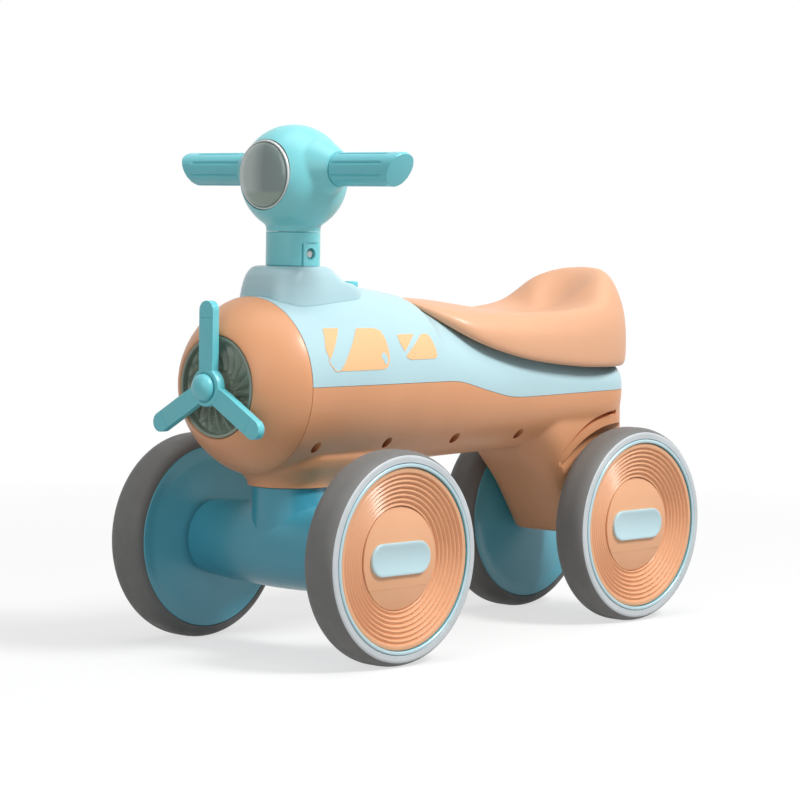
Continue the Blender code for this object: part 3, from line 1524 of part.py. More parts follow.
def build_lamp(axis):
    """Bezel, lens and lamp board in the front of the head."""
    opening = math.sqrt(HEAD_RADIUS ** 2 - (BEZEL_RADIUS + CLEARANCE) ** 2)
    front = STEER_Y - opening - 0.0012
    back = front + BEZEL_DEPTH
    shelf = front + 0.0036
    place = (0.0, 0.0, LENS_Z)
    lens_seat = LENS_RADIUS + CLEARANCE
    profile = [
        (BEZEL_RADIUS, front + 0.0006),
        (BEZEL_RADIUS - 0.0006, front),
        (lens_seat, front),
        (lens_seat, shelf),
        (lens_seat - 0.0030, shelf),
        (lens_seat - 0.0030, back),
        (BEZEL_RADIUS, back),
    ]
    part(turned("headlight_bezel", profile, place, "Y", BODY_STEPS), "white", axis)
    dome = arc((0.0, 0.0), 1.0, 0.0, 0.5 * math.pi, 6)
    rim = front + 0.0004
    profile = [(0.0, shelf - CLEARANCE), (LENS_RADIUS, shelf - CLEARANCE)]
    profile += [(LENS_RADIUS * a, rim - LENS_BULGE * b) for a, b in dome]
    profile[-1] = (0.0, rim - LENS_BULGE)
    part(turned("headlight_lens", profile, place, "Y", BODY_STEPS), "lens_white", axis)
    board_y = back + CLEARANCE
    radius = BEZEL_RADIUS - 0.0020
    profile = [
        (0.0, board_y + BOARD_THICKNESS),
        (radius, board_y + BOARD_THICKNESS),
        (radius, board_y),
        (LAMP_RADIUS, board_y),
        (LAMP_RADIUS, board_y - LAMP_LENGTH + LAMP_RADIUS),
        (0.0, board_y - LAMP_LENGTH),
    ]
    part(turned("led_board", profile, place, "Y"), "board_green", axis)


def build_handles(axis):
    """Handlebar tube and the two ribbed grips."""
    tip = HANDLE_SPAN / 2.0
    end = tip - 0.0060
    place = (0.0, STEER_Y, HANDLE_Z)
    inner = HANDLE_TUBE_RADIUS - 0.0012
    profile = [(inner, -end), (HANDLE_TUBE_RADIUS, -end), (HANDLE_TUBE_RADIUS, end), (inner, end)]
    part(turned("handlebar_tube", profile, place, "+X"), "steel", axis)
    bore = HANDLE_TUBE_RADIUS + CLEARANCE
    for direction, name in (("+X", "grip_left"), ("-X", "grip_right")):
        profile = [
            (bore, GRIP_START_X),
            (GRIP_RADIUS - 0.0003, GRIP_START_X),
            (GRIP_RADIUS, GRIP_START_X + 0.0006),
            (GRIP_RADIUS, tip - 0.0040),
            (GRIP_RADIUS - 0.0012, tip - 0.0012),
            (GRIP_RADIUS - 0.0040, tip),
            (0.0, tip),
            (0.0, end + CLEARANCE),
            (bore, end + CLEARANCE),
        ]
        grip = turned(name, profile, place, direction, ROUND_STEPS)
        grooves = grip_grooves(name + "_grooves", direction, GRIP_START_X + 0.004, tip - 0.010)
        combine(grip, grooves)
        part(grip, "light_blue", axis)


def grip_grooves(name, direction, start, end):
    """Shallow lengthwise grooves round a grip, as one cutter mesh."""
    bm = bmesh.new()
    side = 1.0 if direction == "+X" else -1.0
    half = 0.0006
    for i in range(GRIP_RIB_COUNT):
        angle = 2.0 * math.pi * (i + 0.5) / GRIP_RIB_COUNT
        made = bmesh.ops.create_cube(bm, size=1.0)["verts"]
        turn = Euler((angle, 0.0, 0.0)).to_matrix()
        for vert in made:
            x = side * (start + (end - start) * (vert.co.x + 0.5))
            radial = GRIP_RADIUS + (vert.co.z * 2.0) * GRIP_GROOVE
            vert.co = turn @ Vector((x, vert.co.y * 2.0 * half, radial))
    bmesh.ops.translate(bm, verts=bm.verts, vec=(0.0, STEER_Y, HANDLE_Z))
    return add_object(name, mesh_from(bm, name))


def build_front_axle_housing(axis):
    """Blue housing under the body: a stem on a barrel that holds the front axle."""
    length = BARREL_END_X
    bulge = BARREL_MIDDLE_RADIUS - BARREL_END_RADIUS
    stations = [i / 3.0 for i in range(-3, 4)]
    outer = [(BARREL_END_RADIUS + bulge * math.cos(0.5 * math.pi * s), s * length) for s in stations]
    place = (0.0, FRONT_AXLE_Y, WHEEL_RADIUS)
    chamfer = 0.0010
    outer[0] = (outer[0][0] - chamfer, outer[0][1])
    outer.insert(1, (outer[0][0] + chamfer, outer[0][1] + chamfer))
    outer[-1] = (outer[-1][0] - chamfer, outer[-1][1])
    outer.insert(-1, (outer[-1][0] + chamfer, outer[-1][1] - chamfer))
    profile = [(0.0, -length)] + outer + [(0.0, length)]
    housing = turned("front_axle_housing", profile, place, "+X", BODY_STEPS)
    floor = (0.0, STEER_Y, WHEEL_RADIUS)
    top = (0.0, STEER_Y, STEM_TOP_Z)
    combine(housing, rod("stem", STEM_RADIUS, floor, top, BODY_STEPS), "UNION")
    inner_length = length - BARREL_WALL
    inner = [(r - BARREL_WALL, h * inner_length / length) for r, h in outer[2:-2]]
    inner = [
        (BARREL_END_RADIUS - BARREL_WALL, -inner_length)
    ] + inner + [(BARREL_END_RADIUS - BARREL_WALL, inner_length)]
    profile = [(0.0, -inner_length)] + inner + [(0.0, inner_length)]
    hollow = turned("barrel_hollow", profile, place, "+X", BODY_STEPS)
    core_bottom = (0.0, STEER_Y, WHEEL_RADIUS - BARREL_MIDDLE_RADIUS)
    combine(
        hollow,
        rod("stem_core", STEM_CORE_RADIUS, core_bottom, (0.0, STEER_Y, STEM_TOP_Z + 0.01), ROUND_STEPS),
    )
    combine(housing, hollow)
    bore_floor = (0.0, STEER_Y, STEM_BORE_FLOOR_Z)
    bore_top = (0.0, STEER_Y, STEM_TOP_Z + 0.01)
    combine(housing, rod("stem_bore", STEER_TUBE_RADIUS + CLEARANCE, bore_floor, bore_top, ROUND_STEPS))
    reach = FRONT_TRACK / 2.0
    axle_bore = rod(
        "front_axle_bore",
        AXLE_RADIUS + CLEARANCE,
        (-reach, FRONT_AXLE_Y, WHEEL_RADIUS),
        (reach, FRONT_AXLE_Y, WHEEL_RADIUS),
    )
    combine(housing, axle_bore)
    part(housing, "axle_blue", axis)


def build_axle(name, wheel_x, y, parent=None):
    """Axle with a head on the right end, and a nut on its left end."""
    seat = wheel_x - HUB_SLEEVE_PROUD + HUB_SLEEVE_LENGTH + CLEARANCE
    head = seat + AXLE_HEAD_THICKNESS
    end = head + AXLE_THREAD_END
    profile = [
        (0.0, -head),
        (AXLE_HEAD_RADIUS, -head),
        (AXLE_HEAD_RADIUS, -seat),
        (AXLE_RADIUS, -seat),
        (AXLE_RADIUS, end),
        (0.0, end),
    ]
    place = (0.0, y, WHEEL_RADIUS)
    part(turned(name, profile, place, "+X", SMALL_STEPS), "steel", parent)
    bore = AXLE_RADIUS + CLEARANCE
    profile = [(bore, seat), (AXLE_HEAD_RADIUS, seat), (AXLE_HEAD_RADIUS, head), (bore, head)]
    nut = turned(name + "_nut", profile, place, "+X", SMALL_STEPS)
    part(nut, "steel", parent)


def wheel_profiles():
    """Profiles of hub, tyre and cap, with heights from the wheel's inner face outwards."""
    width = WHEEL_WIDTH
    bore = AXLE_RADIUS + CLEARANCE
    inside = HUB_RADIUS - HUB_WALL
    sleeve_end = HUB_SLEEVE_LENGTH - HUB_SLEEVE_PROUD
    disc = 0.0030
    hub = [
        (bore, -HUB_SLEEVE_PROUD),
        (HUB_SLEEVE_RADIUS, -HUB_SLEEVE_PROUD),
        (HUB_SLEEVE_RADIUS, 0.0004),
        (HUB_RADIUS, 0.0004),
        (HUB_RADIUS, width - 0.0008),
        (HUB_RADIUS - 0.0006, width - 0.0002),
        (inside, width - 0.0002),
        (inside, disc + 0.0012),
        (HUB_SLEEVE_RADIUS - 0.0030, disc + 0.0012),
        (HUB_SLEEVE_RADIUS - 0.0030, sleeve_end),
        (bore, sleeve_end),
    ]
    seat = HUB_RADIUS + CLEARANCE
    low = 0.0006
    back = TYRE_BACK_RADIUS
    face = TYRE_FACE_RADIUS
    tyre = [(seat, low), (back, low)]
    for angle in (0.55, 1.05, 0.5 * math.pi):
        radius = back + (WHEEL_RADIUS - back) * math.sin(angle)
        tyre.append((radius, low + TYRE_SHOULDER * (1.0 - math.cos(angle))))
    for angle in (0.5 * math.pi, 1.05, 0.55):
        radius = face + (WHEEL_RADIUS - face) * math.sin(angle)
        tyre.append((radius, width - TYRE_SHOULDER * (1.0 - math.cos(angle))))
    tyre += [(face, width), (seat, width)]
    rim = inside - CLEARANCE
    cap_face = width - 0.0010
    floor = cap_face - CAP_RECESS
    cap = [(rim, cap_face - CAP_SKIRT), (rim, cap_face - 0.0006), (rim - 0.0008, cap_face)]
    for i in range(CAP_STEPS):
        radius = CAP_RING_RADIUS - (CAP_RING_RADIUS - CAP_PAD_RADIUS - 0.001) * i / CAP_STEPS
        high = cap_face - CAP_RECESS * i / CAP_STEPS
        cap += [(radius, high), (radius - 0.0004, high - CAP_RECESS / CAP_STEPS)]
    cap += [
        (CAP_PAD_RADIUS, floor), (CAP_PAD_RADIUS * 0.8, floor + 0.0026), (0.0140, cap_face - 0.0004)
    ]
    cap += [
        (0.0, cap_face - 0.0004), (0.0, floor - CAP_WALL), (CAP_RING_RADIUS - 0.002, floor - CAP_WALL)
    ]
    cap += [(rim - CAP_WALL, cap_face - CAP_SKIRT)]
    return hub, tyre, cap, cap_face - 0.0004


def build_wheel(tag, direction, wheel_x, y, parent=None):
    """One wheel: hub, tyre, cap and badge, turning on a pivot of its own."""
    side = 1.0 if direction == "+X" else -1.0
    axis = pivot("wheel_%s_axis" % tag, (side * wheel_x, y, WHEEL_RADIUS), parent)
    place = (side * wheel_x, y, WHEEL_RADIUS)
    hub, tyre, cap, pad_height = wheel_profiles()
    part(turned("hub_" + tag, hub, place, direction, WHEEL_STEPS, flats=True), "light_blue", axis)
    part(turned("tyre_" + tag, tyre, place, direction, WHEEL_STEPS, flats=True), "tyre_grey", axis)
    part(turned("wheel_cap_" + tag, cap, place, direction, WHEEL_STEPS, flats=True), "orange", axis)
    half = BADGE_HEIGHT / 2.0
    straight = (BADGE_LENGTH - BADGE_HEIGHT) / 2.0
    outline = arc((0.0, straight), half, 0.0, math.pi, 9) + arc(
        (0.0, -straight), half, math.pi, 2.0 * math.pi, 9
    )
    low = pad_height + CLEARANCE
    badge = plate("badge_" + tag, outline, "Z", low, low + BADGE_THICKNESS)
    badge.rotation_euler = AXIS_TURNS[direction]
    badge.location = place
    part(badge, "light_blue", axis)


def build_all():
    """Build every piece of the scooter."""
    clear_scene()
    shell_mesh = body_shell()
    build_lower_shells(shell_mesh.copy())
    build_battery(shell_mesh.copy())
    build_upper_shell(shell_mesh)
    build_sound_parts()
    build_nose()
    build_propeller()
    build_neck()
    build_saddle()
    steering = pivot("steering_axis", (0.0, STEER_Y, HEAD_Z))
    build_column(steering)
    build_head(steering)
    build_lamp(steering)
    build_handles(steering)
    build_front_axle_housing(steering)
    build_axle("front_axle", FRONT_WHEEL_X, FRONT_AXLE_Y, steering)
    build_axle("rear_axle", REAR_WHEEL_X, REAR_AXLE_Y)
    build_wheel("front_left", "+X", FRONT_WHEEL_X, FRONT_AXLE_Y, steering)
    build_wheel("front_right", "-X", FRONT_WHEEL_X, FRONT_AXLE_Y, steering)
    build_wheel("rear_left", "+X", REAR_WHEEL_X, REAR_AXLE_Y)
    build_wheel("rear_right", "-X", REAR_WHEEL_X, REAR_AXLE_Y)


build_all()
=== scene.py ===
"""Dressed scene of a toddler balance scooter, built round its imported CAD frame.

+Z is up, the nose points towards -Y, +X is the rider's left, and sizes are in metres.
"""

from __future__ import annotations

import json
import logging
import math
from contextlib import contextmanager
from dataclasses import dataclass
from enum import Enum
from typing import Iterator, Sequence

import bmesh
import bpy
from mathutils import Matrix, Vector
from mathutils.kdtree import KDTree

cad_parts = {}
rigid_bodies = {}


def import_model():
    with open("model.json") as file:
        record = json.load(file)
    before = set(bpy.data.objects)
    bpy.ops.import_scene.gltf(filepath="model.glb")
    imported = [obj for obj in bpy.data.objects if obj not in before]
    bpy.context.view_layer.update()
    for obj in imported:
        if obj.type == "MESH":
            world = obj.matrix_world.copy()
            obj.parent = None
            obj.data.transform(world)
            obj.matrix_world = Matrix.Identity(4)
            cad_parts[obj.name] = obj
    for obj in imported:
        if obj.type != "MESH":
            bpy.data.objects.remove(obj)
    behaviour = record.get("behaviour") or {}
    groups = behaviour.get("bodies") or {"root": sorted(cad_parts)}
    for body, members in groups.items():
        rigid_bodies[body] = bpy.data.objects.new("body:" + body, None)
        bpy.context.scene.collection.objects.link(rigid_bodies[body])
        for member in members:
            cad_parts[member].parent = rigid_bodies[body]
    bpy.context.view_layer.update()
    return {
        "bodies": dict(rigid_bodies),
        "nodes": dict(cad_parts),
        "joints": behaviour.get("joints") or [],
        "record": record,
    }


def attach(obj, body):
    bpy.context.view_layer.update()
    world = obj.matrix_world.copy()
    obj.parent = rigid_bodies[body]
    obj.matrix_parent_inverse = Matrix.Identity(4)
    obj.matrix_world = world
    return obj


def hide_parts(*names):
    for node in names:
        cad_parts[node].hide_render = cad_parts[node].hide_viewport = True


LOG = logging.getLogger("balance_scooter")

Point = tuple[float, float, float]
Pair = tuple[float, float]
Colour = tuple[int, int, int]

WHEEL_RADIUS = 0.0750
FRONT_AXLE_Y = -0.1464
REAR_AXLE_Y = 0.1661
STEER_Y = -0.1484
BODY_AXIS_Z = 0.1905
BODY_RADIUS = 0.0624
BELLY_Z = BODY_AXIS_Z - BODY_RADIUS
RIDGE_Z = 0.2596
SEAM_Y = FRONT_AXLE_Y - 0.0429
TAIL_Y = REAR_AXLE_Y + 0.0235
SADDLE_TIP_Y = REAR_AXLE_Y - 0.2145
BUTTON_Y = FRONT_AXLE_Y + 0.0578
FRONT_WHEEL_X = 0.0822
REAR_WHEEL_X = 0.04225
LENS_Z = 0.3379
LENS_RADIUS = 0.0226

# Clearances at a joint, under a seated piece and along a parting line
JOINT_GAP = 0.0003
SEAT_GAP = 0.0002
HAIR_GAP = 0.00003

# Reach of a cutting tool past the object's sides and past its ends
PAST_SIDES = 0.2
PAST_ENDS = 1.0


class Axis(Enum):
    """Direction that a turned piece's height points in."""

    UP = (0.0, 0.0, 0.0)
    LEFT = (0.0, math.pi / 2.0, 0.0)
    RIGHT = (0.0, -math.pi / 2.0, 0.0)
    BACK = (-math.pi / 2.0, 0.0, 0.0)


class Fit(Enum):
    """Way in which a second solid changes the first."""

    JOIN = "UNION"
    CUT = "DIFFERENCE"
    KEEP = "INTERSECT"


def deselect() -> None:
    """Leave every object unselected."""
    bpy.ops.object.select_all(action="DESELECT")


def pick(piece: bpy.types.Object) -> None:
    """Make a piece the only selected one, and the active one.

    Args:
        piece: The object to select.
    """
    deselect()
    piece.select_set(True)
    bpy.context.view_layer.objects.active = piece


@contextmanager
def editing(piece: bpy.types.Object) -> Iterator[None]:
    """Work on a piece in edit mode.

    Args:
        piece: The mesh object to edit.
    """
    pick(piece)
    bpy.ops.object.mode_set(mode="EDIT")
    try:
        yield
    finally:
        bpy.ops.object.mode_set(mode="OBJECT")


def settle(piece: bpy.types.Object) -> bpy.types.Object:
    """Put a piece's place into its mesh.

    Args:
        piece: The object whose location, rotation and scale are applied.

    Returns:
        The same object, at the origin.
    """
    pick(piece)
    bpy.ops.object.transform_apply(location=True, rotation=True, scale=True)
    return piece


def tidy_shell(piece: bpy.types.Object, gap: float = 1e-6) -> None:
    """Merge a closed mesh's doubles and turn its faces outwards.

    Args:
        piece: The mesh object.
        gap: Vertices closer than this become one.
    """
    with editing(piece):
        bpy.ops.mesh.select_all(action="SELECT")
        bpy.ops.mesh.remove_doubles(threshold=gap)
        bpy.ops.mesh.normals_make_consistent(inside=False)


def turned(
    name: str, profile: Sequence[Pair], centre: Point, axis: Axis = Axis.UP, steps: int = 96
) -> bpy.types.Object:
    """Spin a profile round an axis, as on a lathe.

    Args:
        name: Name of the new object.
        profile: Pairs of radius and height. It is closed through its ends.
        centre: Place of the profile's origin.
        axis: Direction in which the heights grow.
        steps: Number of facets round the axis.

    Returns:
        The turned object.
    """
    bpy.ops.mesh.primitive_circle_add(vertices=len(profile))
    piece = bpy.context.active_object
    piece.name = name
    for vert, (radius, height) in zip(piece.data.vertices, profile):
        vert.co = (radius, 0.0, height)
    with editing(piece):
        bpy.ops.mesh.select_all(action="SELECT")
        bpy.ops.mesh.spin(
            steps=steps, angle=2.0 * math.pi, center=(0.0, 0.0, 0.0), axis=(0.0, 0.0, 1.0)
        )
        bpy.ops.mesh.select_all(action="SELECT")
        bpy.ops.mesh.remove_doubles(threshold=2e-6)
        bpy.ops.mesh.delete_loose()
        bpy.ops.mesh.select_all(action="SELECT")
        bpy.ops.mesh.normals_make_consistent(inside=False)
    piece.rotation_euler = axis.value
    piece.location = centre
    return settle(piece)


def lofted(name: str, rings: Sequence[Sequence[Point]]) -> bpy.types.Object:
    """Extrude a closed outline from each ring to the next.

    Args:
        name: Name of the new object.
        rings: Rings with the same number of points, in order.

    Returns:
        The closed solid.
    """
    bpy.ops.mesh.primitive_circle_add(vertices=len(rings[0]), fill_type="NGON")
    piece = bpy.context.active_object
    piece.name = name
    for vert, point in zip(piece.data.vertices, rings[0]):
        vert.co = point
    with editing(piece):
        bpy.ops.mesh.select_all(action="SELECT")
        for before, after in zip(rings, rings[1:]):
            bpy.ops.mesh.extrude_region_move()
            shape = bmesh.from_edit_mesh(piece.data)
            tree = KDTree(len(before))
            for index, point in enumerate(before):
                tree.insert(point, index)
            tree.balance()
            for vert in [v for v in shape.verts if v.select]:
                vert.co = after[tree.find(vert.co)[1]]
            bmesh.update_edit_mesh(piece.data)
        bpy.ops.mesh.select_all(action="SELECT")
        bpy.ops.mesh.normals_make_consistent(inside=False)
    return piece


def slab(
    name: str, outline: Sequence[Pair], axis: Axis, low: float, high: float
) -> bpy.types.Object:
    """Extrude a flat outline.

    Args:
        name: Name of the new object.
        outline: Points as (x, y) for Axis.UP, or (y, z) for Axis.LEFT.
        axis: Axis.UP or Axis.LEFT.
        low: Place of the first face along the axis.
        high: Place of the second face along the axis.

    Returns:
        The flat solid.
    """
    if axis is Axis.UP:
        rings = [[(a, b, level) for a, b in outline] for level in (low, high)]
    else:
        rings = [[(level, a, b) for a, b in outline] for level in (low, high)]
    return lofted(name, rings)


def bar(name: str, radius: float, start: Point, end: Point, steps: int = 48) -> bpy.types.Object:
    """Round bar between two points.

    Args:
        name: Name of the new object.
        radius: Radius of the bar.
        start: Centre of its first end.
        end: Centre of its second end.
        steps: Number of sides.

    Returns:
        The bar.
    """
    along = Vector(end) - Vector(start)
    bpy.ops.mesh.primitive_cylinder_add(
        vertices=steps,
        radius=radius,
        depth=along.length,
        location=(Vector(start) + Vector(end)) / 2.0,
        rotation=along.to_track_quat("Z", "Y").to_euler(),
    )
    piece = bpy.context.active_object
    piece.name = name
    return settle(piece)


def block(name: str, low: Point, high: Point) -> bpy.types.Object:
    """Box between two corners.

    Args:
        name: Name of the new object.
        low: Its corner with the smallest x, y and z.
        high: Its corner with the largest x, y and z.

    Returns:
        The box.
    """
    middle = (Vector(low) + Vector(high)) / 2.0
    bpy.ops.mesh.primitive_cube_add(size=1.0, location=middle)
    piece = bpy.context.active_object
    piece.name = name
    piece.scale = Vector(high) - Vector(low)
    return settle(piece)


def duplicate(piece: bpy.types.Object, name: str) -> bpy.types.Object:
    """Copy a piece together with its mesh.

    Args:
        piece: The object to copy.
        name: Name of the copy.

    Returns:
        The copy, with a mesh of its own.
    """
    pick(piece)
    bpy.ops.object.duplicate(linked=False)
    copy = bpy.context.active_object
    copy.name = name
    return copy


def apply_modifier(piece: bpy.types.Object, kind: str, **settings: object) -> None:
    """Add a modifier to a piece and apply it.

    Args:
        piece: The mesh object.
        kind: Blender's name for the type of modifier.
        settings: Values for the modifier's properties.
    """
    pick(piece)
    modifier = piece.modifiers.new(kind.title(), kind)
    for key, value in settings.items():
        setattr(modifier, key, value)
    bpy.ops.object.modifier_apply(modifier=modifier.name)


def combine(piece: bpy.types.Object, tool: bpy.types.Object, fit: Fit) -> bpy.types.Object:
    """Join, cut or trim a solid with another one.

    Args:
        piece: The solid that changes.
        tool: The solid that changes it, which is then removed.
        fit: What the tool does.

    Returns:
        The changed solid.
    """
    apply_modifier(piece, "BOOLEAN", operation=fit.value, object=tool, solver="EXACT")
    bpy.data.objects.remove(tool, do_unlink=True)
    return piece


def round_edges(
    piece: bpy.types.Object, width: float, segments: int = 3, angle: float = 40.0
) -> None:
    """Round a piece's sharp edges.

    Args:
        piece: The mesh object.
        width: Width of the rounding.
        segments: Number of faces across it.
        angle: Edges sharper than this, in degrees, are rounded.
    """
    apply_modifier(
        piece,
        "BEVEL",
        width=width,
        segments=segments,
        limit_method="ANGLE",
        angle_limit=math.radians(angle),
        use_clamp_overlap=True,
        miter_outer="MITER_ARC",
    )


def melt(piece: bpy.types.Object, voxel: float, passes: int) -> None:
    """Fuse a piece's forms into one skin with soft hollows between them.

    Args:
        piece: The mesh object.
        voxel: Size of the new faces.
        passes: How many times the skin is smoothed.
    """
    apply_modifier(piece, "REMESH", mode="VOXEL", voxel_size=voxel, adaptivity=0.0)
    apply_modifier(piece, "SMOOTH", factor=0.5, iterations=passes)


def spread(start: float, end: float, count: int) -> list[float]:
    """Evenly spaced numbers from start to end."""
    return [start + (end - start) * i / (count - 1) for i in range(count)]


def arc(centre: Pair, radius: float, start: float, end: float, count: int) -> list[Pair]:
    """Points of an arc.

    Args:
        centre: Centre of the arc.
        radius: Its radius.
        start: Angle of its first point, in radians.
        end: Angle of its last point.
        count: Number of points.

    Returns:
        The points, with both ends.
    """
    return [
        (centre[0] + radius * math.cos(a), centre[1] + radius * math.sin(a))
        for a in spread(start, end, count)
    ]


def smooth_rows(rows: Sequence[Sequence[float]], steps: int) -> list[tuple[float, ...]]:
    """Run a Catmull-Rom curve through rows of numbers.

    Args:
        rows: Rows of equal length.
        steps: Number of rows made for each span.

    Returns:
        The rows of the curve, with the given ones among them.
    """
    padded = [rows[0], *rows, rows[-1]]
    result = []
    for a, b, c, d in zip(padded, padded[1:], padded[2:], padded[3:]):
        for k in range(steps):
            t = k / steps
            row = []
            for p, q, r, s in zip(a, b, c, d):
                bend = (r - p) * t
                bend += (2.0 * p - 5.0 * q + 4.0 * r - s) * t * t
                bend += (3.0 * q - p - 3.0 * r + s) * t * t * t
                row.append(q + 0.5 * bend)
            result.append(tuple(row))
    result.append(tuple(rows[-1]))
    return result


def rounded_box_ring(
    z: float, half_width: float, front: float, rear: float, corner: float, steps: int = 12
) -> list[Point]:
    """Level ring with four round corners.

    Args:
        z: Height of the ring.
        half_width: Half its width along X.
        front: Y of its front.
        rear: Y of its rear.
        corner: Radius of its corners.
        steps: Points in each corner.

    Returns:
        The ring's points.
    """
    corners = (
        (half_width - corner, rear - corner, 0.0),
        (-half_width + corner, rear - corner, 0.5 * math.pi),
        (-half_width + corner, front + corner, math.pi),
        (half_width - corner, front + corner, 1.5 * math.pi),
    )
    ring = []
    for x, y, start in corners:
        points = arc((x, y), corner, start, start + 0.5 * math.pi, steps)
        ring += [(a, b, z) for a, b in points]
    return ring


class NodeSheet:
    """Small helper that lays out the shader nodes of one material."""

    def __init__(self, name: str) -> None:
        """Start a material with a Principled BSDF.

        Args:
            name: Name of the material.
        """
        self.material = bpy.data.materials.new(name)
        self.material.use_nodes = True
        self.tree = self.material.node_tree
        self.shader = self.tree.nodes["Principled BSDF"]
        self.place = self.add("ShaderNodeTexCoord").outputs["Object"]

    def add(self, kind: str, **settings: object) -> bpy.types.Node:
        """Add a node and set its properties.

        Args:
            kind: Blender's name for the type of node.
            settings: Values for the node's properties.

        Returns:
            The node.
        """
        node = self.tree.nodes.new(kind)
        for key, value in settings.items():
            setattr(node, key, value)
        return node

    def link(self, source: bpy.types.NodeSocket, target: bpy.types.NodeSocket) -> None:
        """Join two sockets."""
        self.tree.links.new(source, target)

    def noise(self, scale: float, detail: float = 3.0) -> bpy.types.NodeSocket:
        """Noise on the object's own coordinates.

        Args:
            scale: Number of blotches in a metre.
            detail: Amount of finer noise on top.

        Returns:
            The noise's value.
        """
        node = self.add("ShaderNodeTexNoise")
        node.inputs["Scale"].default_value = scale
        node.inputs["Detail"].default_value = detail
        self.link(self.place, node.inputs["Vector"])
        return node.outputs["Fac"]

    def ramp(
        self, source: bpy.types.NodeSocket, stops: Sequence[tuple[float, tuple[float, ...]]]
    ) -> bpy.types.NodeSocket:
        """Turn a value into a colour.

        Args:
            source: The value.
            stops: Places between 0 and 1 with their colours.

        Returns:
            The colour.
        """
        node = self.add("ShaderNodeValToRGB")
        elements = node.color_ramp.elements
        while len(elements) < len(stops):
            elements.new(0.5)
        for element, (where, colour) in zip(elements, stops):
            element.position = where
            element.color = (*colour[:3], 1.0)
        self.link(source, node.inputs["Fac"])
        return node.outputs["Color"]

    def span(self, source: bpy.types.NodeSocket, low: float, high: float) -> bpy.types.NodeSocket:
        """Spread the part of a noise between 0.3 and 0.7 over a new range.

        Args:
            source: The noise's value.
            low: Start of the new range.
            high: End of the new range.

        Returns:
            The value in its new range.
        """
        node = self.add("ShaderNodeMapRange")
        node.inputs["From Min"].default_value = 0.3
        node.inputs["From Max"].default_value = 0.7
        node.inputs["To Min"].default_value = low
        node.inputs["To Max"].default_value = high
        self.link(source, node.inputs["Value"])
        return node.outputs["Result"]

    def bump(self, source: bpy.types.NodeSocket, depth: float, strength: float) -> None:
        """Raise the surface by a value.

        Args:
            source: The value.
            depth: Height in metres where the value is 1.
            strength: How much of the relief shows.
        """
        node = self.add("ShaderNodeBump")
        node.inputs["Distance"].default_value = depth
        node.inputs["Strength"].default_value = strength
        self.link(source, node.inputs["Height"])
        self.link(node.outputs["Normal"], self.shader.inputs["Normal"])


def linear(colour: Colour) -> tuple[float, float, float]:
    """Turn a colour of three numbers up to 255 into linear light.

    Args:
        colour: Red, green and blue.

    Returns:
        The three parts as linear light, up to 1.
    """
    result = []
    for part in colour:
        value = part / 255.0
        result.append(value / 12.92 if value <= 0.04045 else ((value + 0.055) / 1.055) ** 2.4)
    return tuple(result)


def shaded(colour: Sequence[float], factor: float) -> tuple[float, ...]:
    """Make a linear colour lighter or darker."""
    return tuple(min(part * factor, 1.0) for part in colour)


@dataclass(frozen=True)
class MouldedPlastic:
    """Smooth injection-moulded plastic with faint flow marks and a fine skin."""

    name: str
    colour: Colour
    slot: str
    roughness: float = 0.36
    clear_coat: float = 0.25
    coat_roughness: float = 0.22
    flow_marks: float = 0.035
    marks_per_metre: float = 11.0
    gloss_per_metre: float = 75.0
    grain_per_metre: float = 1400.0
    grain_depth: float = 0.00004

    def material(self) -> bpy.types.Material:
        """Make the material, or find it if it was made before.

        Returns:
            The material.
        """
        if self.name in bpy.data.materials:
            return bpy.data.materials[self.name]
        sheet = NodeSheet(self.name)
        base = linear(self.colour)
        drift = self.flow_marks
        stops = ((0.32, shaded(base, 1.0 - drift)), (0.68, shaded(base, 1.0 + drift)))
        marks = sheet.noise(self.marks_per_metre, 2.0)
        sheet.link(sheet.ramp(marks, stops), sheet.shader.inputs["Base Color"])
        gloss = sheet.noise(self.gloss_per_metre)
        rough = sheet.span(gloss, self.roughness - 0.04, self.roughness + 0.05)
        sheet.link(rough, sheet.shader.inputs["Roughness"])
        sheet.bump(sheet.noise(self.grain_per_metre, 2.0), self.grain_depth, 0.35)
        sheet.shader.inputs["Coat Weight"].default_value = self.clear_coat
        sheet.shader.inputs["Coat Roughness"].default_value = self.coat_roughness
        return sheet.material


@dataclass(frozen=True)
class FoamRubber:
    """Dull foamed tyre rubber with small pores and a dusty bloom."""

    name: str
    colour: Colour
    slot: str
    roughness: float = 0.62
    bloom_per_metre: float = 26.0
    pores_per_metre: float = 900.0
    pore_depth: float = 0.00008

    def material(self) -> bpy.types.Material:
        """Make the material, or find it if it was made before.

        Returns:
            The material.
        """
        if self.name in bpy.data.materials:
            return bpy.data.materials[self.name]
        sheet = NodeSheet(self.name)
        base = linear(self.colour)
        stops = ((0.30, shaded(base, 0.90)), (0.55, base), (0.75, shaded(base, 1.10)))
        bloom = sheet.noise(self.bloom_per_metre, 5.0)
        sheet.link(sheet.ramp(bloom, stops), sheet.shader.inputs["Base Color"])
        rough = sheet.span(sheet.noise(120.0), self.roughness - 0.06, self.roughness + 0.10)
        sheet.link(rough, sheet.shader.inputs["Roughness"])
        pores = sheet.add("ShaderNodeTexVoronoi")
        pores.inputs["Scale"].default_value = self.pores_per_metre
        sheet.link(sheet.place, pores.inputs["Vector"])
        sheet.bump(pores.outputs["Distance"], self.pore_depth, 0.30)
        sheet.shader.inputs["Sheen Weight"].default_value = 0.08
        return sheet.material


